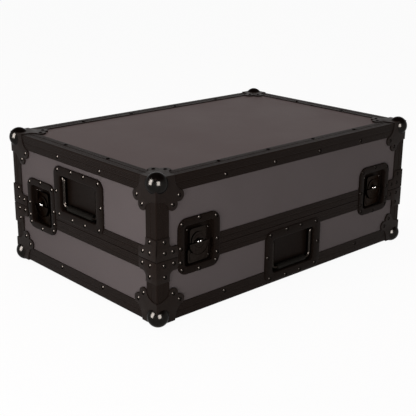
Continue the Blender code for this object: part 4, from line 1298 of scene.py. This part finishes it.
def strip_rivets(half):
    """Places of the rivets along the angles of one half, on both of their faces."""
    deck, level, toward = deck_of(half)
    height = level + toward * EDGE_RIVET_INSET
    places = []
    for step in range(LONG_RIVET_COUNT):
        x = LONG_RIVET_FIRST + LONG_RIVET_PITCH * step - HALF_LENGTH
        for side, sign in (("front", -1), ("rear", 1)):
            places.append(station(deck, x, sign * (HALF_WIDTH - EDGE_RIVET_INSET)))
            under_dish = half == "base" and side == "front" and abs(x) < HANDLE_HALF
            if not under_dish:
                places.append(station(side, x, height))
    for y in SHORT_RIVETS:
        for side, sign in (("left", -1), ("right", 1)):
            places.append(station(deck, sign * (HALF_LENGTH - EDGE_RIVET_INSET), y))
            places.append(station(side, y, height))
    return places


def corner_rivets(half):
    """Places of the rivets in the leaves of one half's ball corners."""
    deck, level, toward = deck_of(half)
    places = []
    for sx, sy, _ in CORNERS.values():
        for along, up in LEAF_RIVETS:
            places += post_stations(sx, sy, along, level + toward * up)
            places.append(station(deck, sx * (HALF_LENGTH - along), sy * (HALF_WIDTH - up)))
    return places


def brace_rivets(half):
    """Places of the rivets in one half's braces."""
    rivets = UPPER_BRACE_RIVETS if half == "lid" else LOWER_BRACE_RIVETS
    places = []
    for sx, sy, _ in CORNERS.values():
        for along, up in rivets:
            places += post_stations(sx, sy, along, SPLIT + up)
    return places


def inner_rivets(half):
    """Places of the small rivets in the floors of one half's latch dishes."""
    above = half == "lid"
    return [
        at @ Matrix.Translation((x, LATCH_FLOOR, SPLIT + z))
        for at in LATCH_STATIONS.values() for x, z in INNER_RIVETS if (z > 0) == above
    ]


def dish_rivets(half):
    """Places of the rivets in the flanges of one half's latch and handle dishes."""
    above = half == "lid"
    places = []
    for at in LATCH_STATIONS.values():
        places += [
            at @ Matrix.Translation((x, 0, SPLIT + z)) for x, z in LATCH_RIVETS if (z > 0) == above
        ]
    for side, at in HANDLE_STATIONS.items():
        if (side != "front") == above:
            places += [at @ Matrix.Translation((x, 0, z)) for x, z in HANDLE_RIVETS]
    return places


def make_rivets():
    """Groups of rivets, each sitting on the face of what it fastens."""
    large = dome_mesh(RIVET_RADIUS, RIVET_HEIGHT)
    small = dome_mesh(INNER_RIVET_RADIUS, INNER_RIVET_HEIGHT)
    groups = (
        ("edge", strip_rivets, 0.0, large), ("corner", corner_rivets, PLATE_PROUD, large),
        ("brace", brace_rivets, PLATE_PROUD, large), ("dish", dish_rivets, FLANGE_PROUD, large),
        ("latch_floor", inner_rivets, 0.0, small),
    )
    for half in ("lid", "base"):
        for group, places, proud, head in groups:
            outward = Matrix.Translation((0, -proud, 0))
            mesh = merged(*[(head, place @ outward) for place in places(half)])
            add(f"{half}_{group}_rivets", mesh, "rivet_steel", half)


# Foam

def make_foam_bed():
    """The foam bed with soft upper edges and a well for the controller."""
    low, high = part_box("base_foam_bed")
    bm = bmesh.new()

    def ring(grow, level, corner, half_x=high.x, half_y=high.y):
        wide, deep = half_x + grow, half_y + grow
        outline = rounded_rectangle(-wide, wide, -deep, deep, corner + grow, 6)
        return [bm.verts.new((x, y, level)) for x, y in outline]

    soft = FOAM_EDGE
    well = (FOAM_BED_CORNER, high.x - FOAM_WALL, high.y - FOAM_WALL)
    loops = [ring(0.0, low.z, soft)]
    loops += [ring(-soft * (1 - cos(t)), high.z - soft * (1 - sin(t)), FOAM_CORNER) for t in QUARTER]
    loops += [ring(soft * (1 - sin(t)), high.z - soft * (1 - cos(t)), *well) for t in QUARTER]
    floor = low.z + FOAM_FLOOR
    loops += [ring(-soft * (1 - cos(t)), floor + soft * (1 - sin(t)), *well) for t in QUARTER]
    loft(bm, loops)
    bm.faces.new(loops[0])
    bm.faces.new(loops[-1])
    bed = add("base_foam_bed_block", mesh_from(bm), "lining_foam", "base", None, ("base_foam_bed",),
              sharp=radians(60))


def make_lid_foam():
    """A wave-cut foam pad under the lid's top panel."""
    half_x, half_y = HALF_LENGTH - LID_FOAM_INSET, HALF_WIDTH - LID_FOAM_INSET
    top, bottom = LID_DECK - GAP, LID_DECK - LID_FOAM_THICKNESS
    columns, rows = round(2 * half_x / LID_FOAM_STEP), round(2 * half_y / LID_FOAM_STEP)
    turns = 2 * pi / LID_FOAM_PITCH
    bm = bmesh.new()
    levels = []
    for upper in (False, True):
        grid = []
        for row in range(rows + 1):
            y = -half_y + 2 * half_y * row / rows
            line = []
            for column in range(columns + 1):
                x = -half_x + 2 * half_x * column / columns
                margin = min(half_x - abs(x), half_y - abs(y))
                soft = max(0.0, 1 - margin / FOAM_EDGE) ** 2 * FOAM_EDGE
                fade = min(1.0, margin / LID_FOAM_PITCH)
                wave = LID_FOAM_WAVE * sin(turns * x) * sin(turns * y) * fade
                level = top if upper else bottom + wave + soft
                line.append(bm.verts.new((x, y, level)))
            grid.append(line)
        levels.append(grid)
    for grid in levels:
        for row in range(rows):
            for column in range(columns):
                bm.faces.new((
                    grid[row][column], grid[row][column + 1],
                    grid[row + 1][column + 1], grid[row + 1][column],
                ))
    rims = []
    for grid in levels:
        rim = grid[0] + [line[-1] for line in grid[1:]]
        rim += list(reversed(grid[-1][:-1])) + [line[0] for line in reversed(grid[1:-1])]
        rims.append(rim)
    loft(bm, rims)
    pad = add("lid_foam_pad", mesh_from(bm), "lining_foam", "lid", sharp=radians(70))


# Stage

def seen_rays(tree):
    """1 for camera, glossy and transmission rays."""
    path = tree.nodes.new("ShaderNodeLightPath")
    total = path.outputs["Is Camera Ray"]
    for name in ("Is Glossy Ray", "Is Transmission Ray"):
        total = math_node(tree, "MAXIMUM", total, path.outputs[name])
    return total


def math_node(tree, operation, first, second):
    """The result of a Math node for a socket and a second socket or a number."""
    node = tree.nodes.new("ShaderNodeMath")
    node.operation = operation
    tree.links.new(first, node.inputs[0])
    if isinstance(second, float):
        node.inputs[1].default_value = second
    else:
        tree.links.new(second, node.inputs[1])
    return node.outputs[0]


def mixed_output(tree, output, factor, *kinds):
    """Two new shaders mixed by a factor to an output. Returns their nodes."""
    tree.nodes.clear()
    mix, end = tree.nodes.new("ShaderNodeMixShader"), tree.nodes.new(output)
    shaders = [tree.nodes.new(kind) for kind in kinds]
    tree.links.new(factor(tree), mix.inputs[0])
    for shader, socket in zip(shaders, mix.inputs[1:]):
        tree.links.new(shader.outputs[0], socket)
    tree.links.new(mix.outputs[0], end.inputs["Surface"])
    return shaders


def make_world():
    """A plain level as light. As seen, it is white near the horizon and grey overhead."""
    world = bpy.data.worlds.new("studio")
    bpy.context.scene.world = world
    world.use_nodes = True
    tree = world.node_tree
    light, seen = mixed_output(
        tree, "ShaderNodeOutputWorld", seen_rays, "ShaderNodeBackground", "ShaderNodeBackground"
    )
    light.inputs["Strength"].default_value = WORLD_LEVEL
    light.inputs["Color"].default_value = (*WHITE, 1.0)
    split = tree.nodes.new("ShaderNodeSeparateXYZ")
    place = tree.nodes.new("ShaderNodeTexCoord").outputs["Generated"]
    tree.links.new(place, split.inputs[0])
    low, high = sin(radians(SKY_WHITE)), sin(radians(SKY_GREY))
    shade = blend_colors(tree, remap(tree, split.outputs["Z"], 0, 1, low, high), WHITE, SKY_TOP)
    tree.links.new(shade, seen.inputs["Color"])


def make_floor():
    """A white floor that keeps the shadow of the case."""
    bm = bmesh.new()
    bmesh.ops.create_grid(bm, x_segments=1, y_segments=1, size=FLOOR_SIZE)
    bmesh.ops.translate(bm, vec=(0, 0, -FLOOR_DROP), verts=bm.verts)
    mesh = mesh_from(bm)
    material = bpy.data.materials.new("floor_white")
    material.use_nodes = True

    def glow(tree):
        return math_node(tree, "MULTIPLY", seen_rays(tree), FLOOR_GLOW)

    diffuse, _ = mixed_output(
        material.node_tree, "ShaderNodeOutputMaterial", glow, "ShaderNodeBsdfDiffuse",
        "ShaderNodeEmission",
    )
    diffuse.inputs["Color"].default_value = (*(FLOOR_TONE,) * 3, 1.0)
    mesh.materials.append(material)
    floor = linked("floor", mesh)


def direction(azimuth, elevation):
    """Unit vector from the case, with azimuth 0 in front of it and 90 degrees at its right end."""
    turn, rise = radians(azimuth), radians(elevation)
    return Vector((sin(turn) * cos(rise), -cos(turn) * cos(rise), sin(rise)))


def make_lamp(name, azimuth, elevation, distance, width, height, level, tint):
    """A soft box that lights a face square to it at the given plain level."""
    toward = direction(azimuth, elevation)
    lamp = bpy.data.lights.new(name, "AREA")
    lamp.shape = "RECTANGLE"
    lamp.size, lamp.size_y = width, height
    lamp.energy = level * (pi * distance) ** 2
    lamp.color = tint
    holder = linked(name, lamp)
    holder.location = LAMP_TARGET + toward * distance
    holder.rotation_mode = "QUATERNION"
    holder.rotation_quaternion = (-toward).to_track_quat("-Z", "Y")
    holder.visible_camera = False
    return holder


def make_lights():
    """Three soft boxes as plain light, and two tall ones that only round fittings mirror."""
    for name, values in PLAIN_BOXES.items():
        make_lamp(name, *values).visible_glossy = False
    for name, values in SHINE_BOXES.items():
        shine = make_lamp(name, *values)
        shine.visible_diffuse = False
        shine.light_linking.receiver_collection = GLINTING_PIECES
    make_world()


def make_camera():
    """The camera at the photograph's viewpoint."""
    back, roll = direction(CAMERA_AZIMUTH, CAMERA_ELEVATION), radians(CAMERA_ROLL)
    right = (-back).cross(Vector((0, 0, 1))).normalized()
    up = back.cross(right)
    across = cos(roll) * right + sin(roll) * up
    upward = cos(roll) * up - sin(roll) * right
    camera = bpy.data.cameras.new("camera")
    camera.lens, camera.sensor_width = CAMERA_LENS, CAMERA_SENSOR
    camera.clip_start, camera.clip_end = 0.05, 100.0
    holder = linked("camera", camera)
    turn = Matrix((across, upward, back)).transposed().to_4x4()
    holder.matrix_world = Matrix.Translation(CAMERA_PLACE) @ turn
    bpy.context.scene.camera = holder


LATCH_STATIONS = {
    "front_left": station("front", LATCH_FRONT_X),
    "front_right": station("front", -LATCH_FRONT_X),
    "left_end": station("left", LATCH_END_Y),
    "right_end": station("right", LATCH_END_Y),
}
HANDLE_STATIONS = {
    "left": station("left", HANDLE_END_Y, HANDLE_END_HEIGHT),
    "right": station("right", HANDLE_END_Y, HANDLE_END_HEIGHT),
    "front": station("front", 0.0, HANDLE_FRONT_HEIGHT),
}
LAMP_TARGET = Vector((-HALF_LENGTH / 2, -HALF_WIDTH / 2, CASE_TOP / 2))
FINISH = make_finishes()
GLINTING_PIECES = bpy.data.collections.new("glinting_pieces")

finish_panels()
make_edge_frames()
make_rims()
make_ball_corners()
make_braces()
make_latches()
make_handles()
make_rivets()
make_foam_bed()
make_lid_foam()
make_floor()
make_lights()
make_camera()
bpy.context.scene.view_settings.view_transform = "Standard"
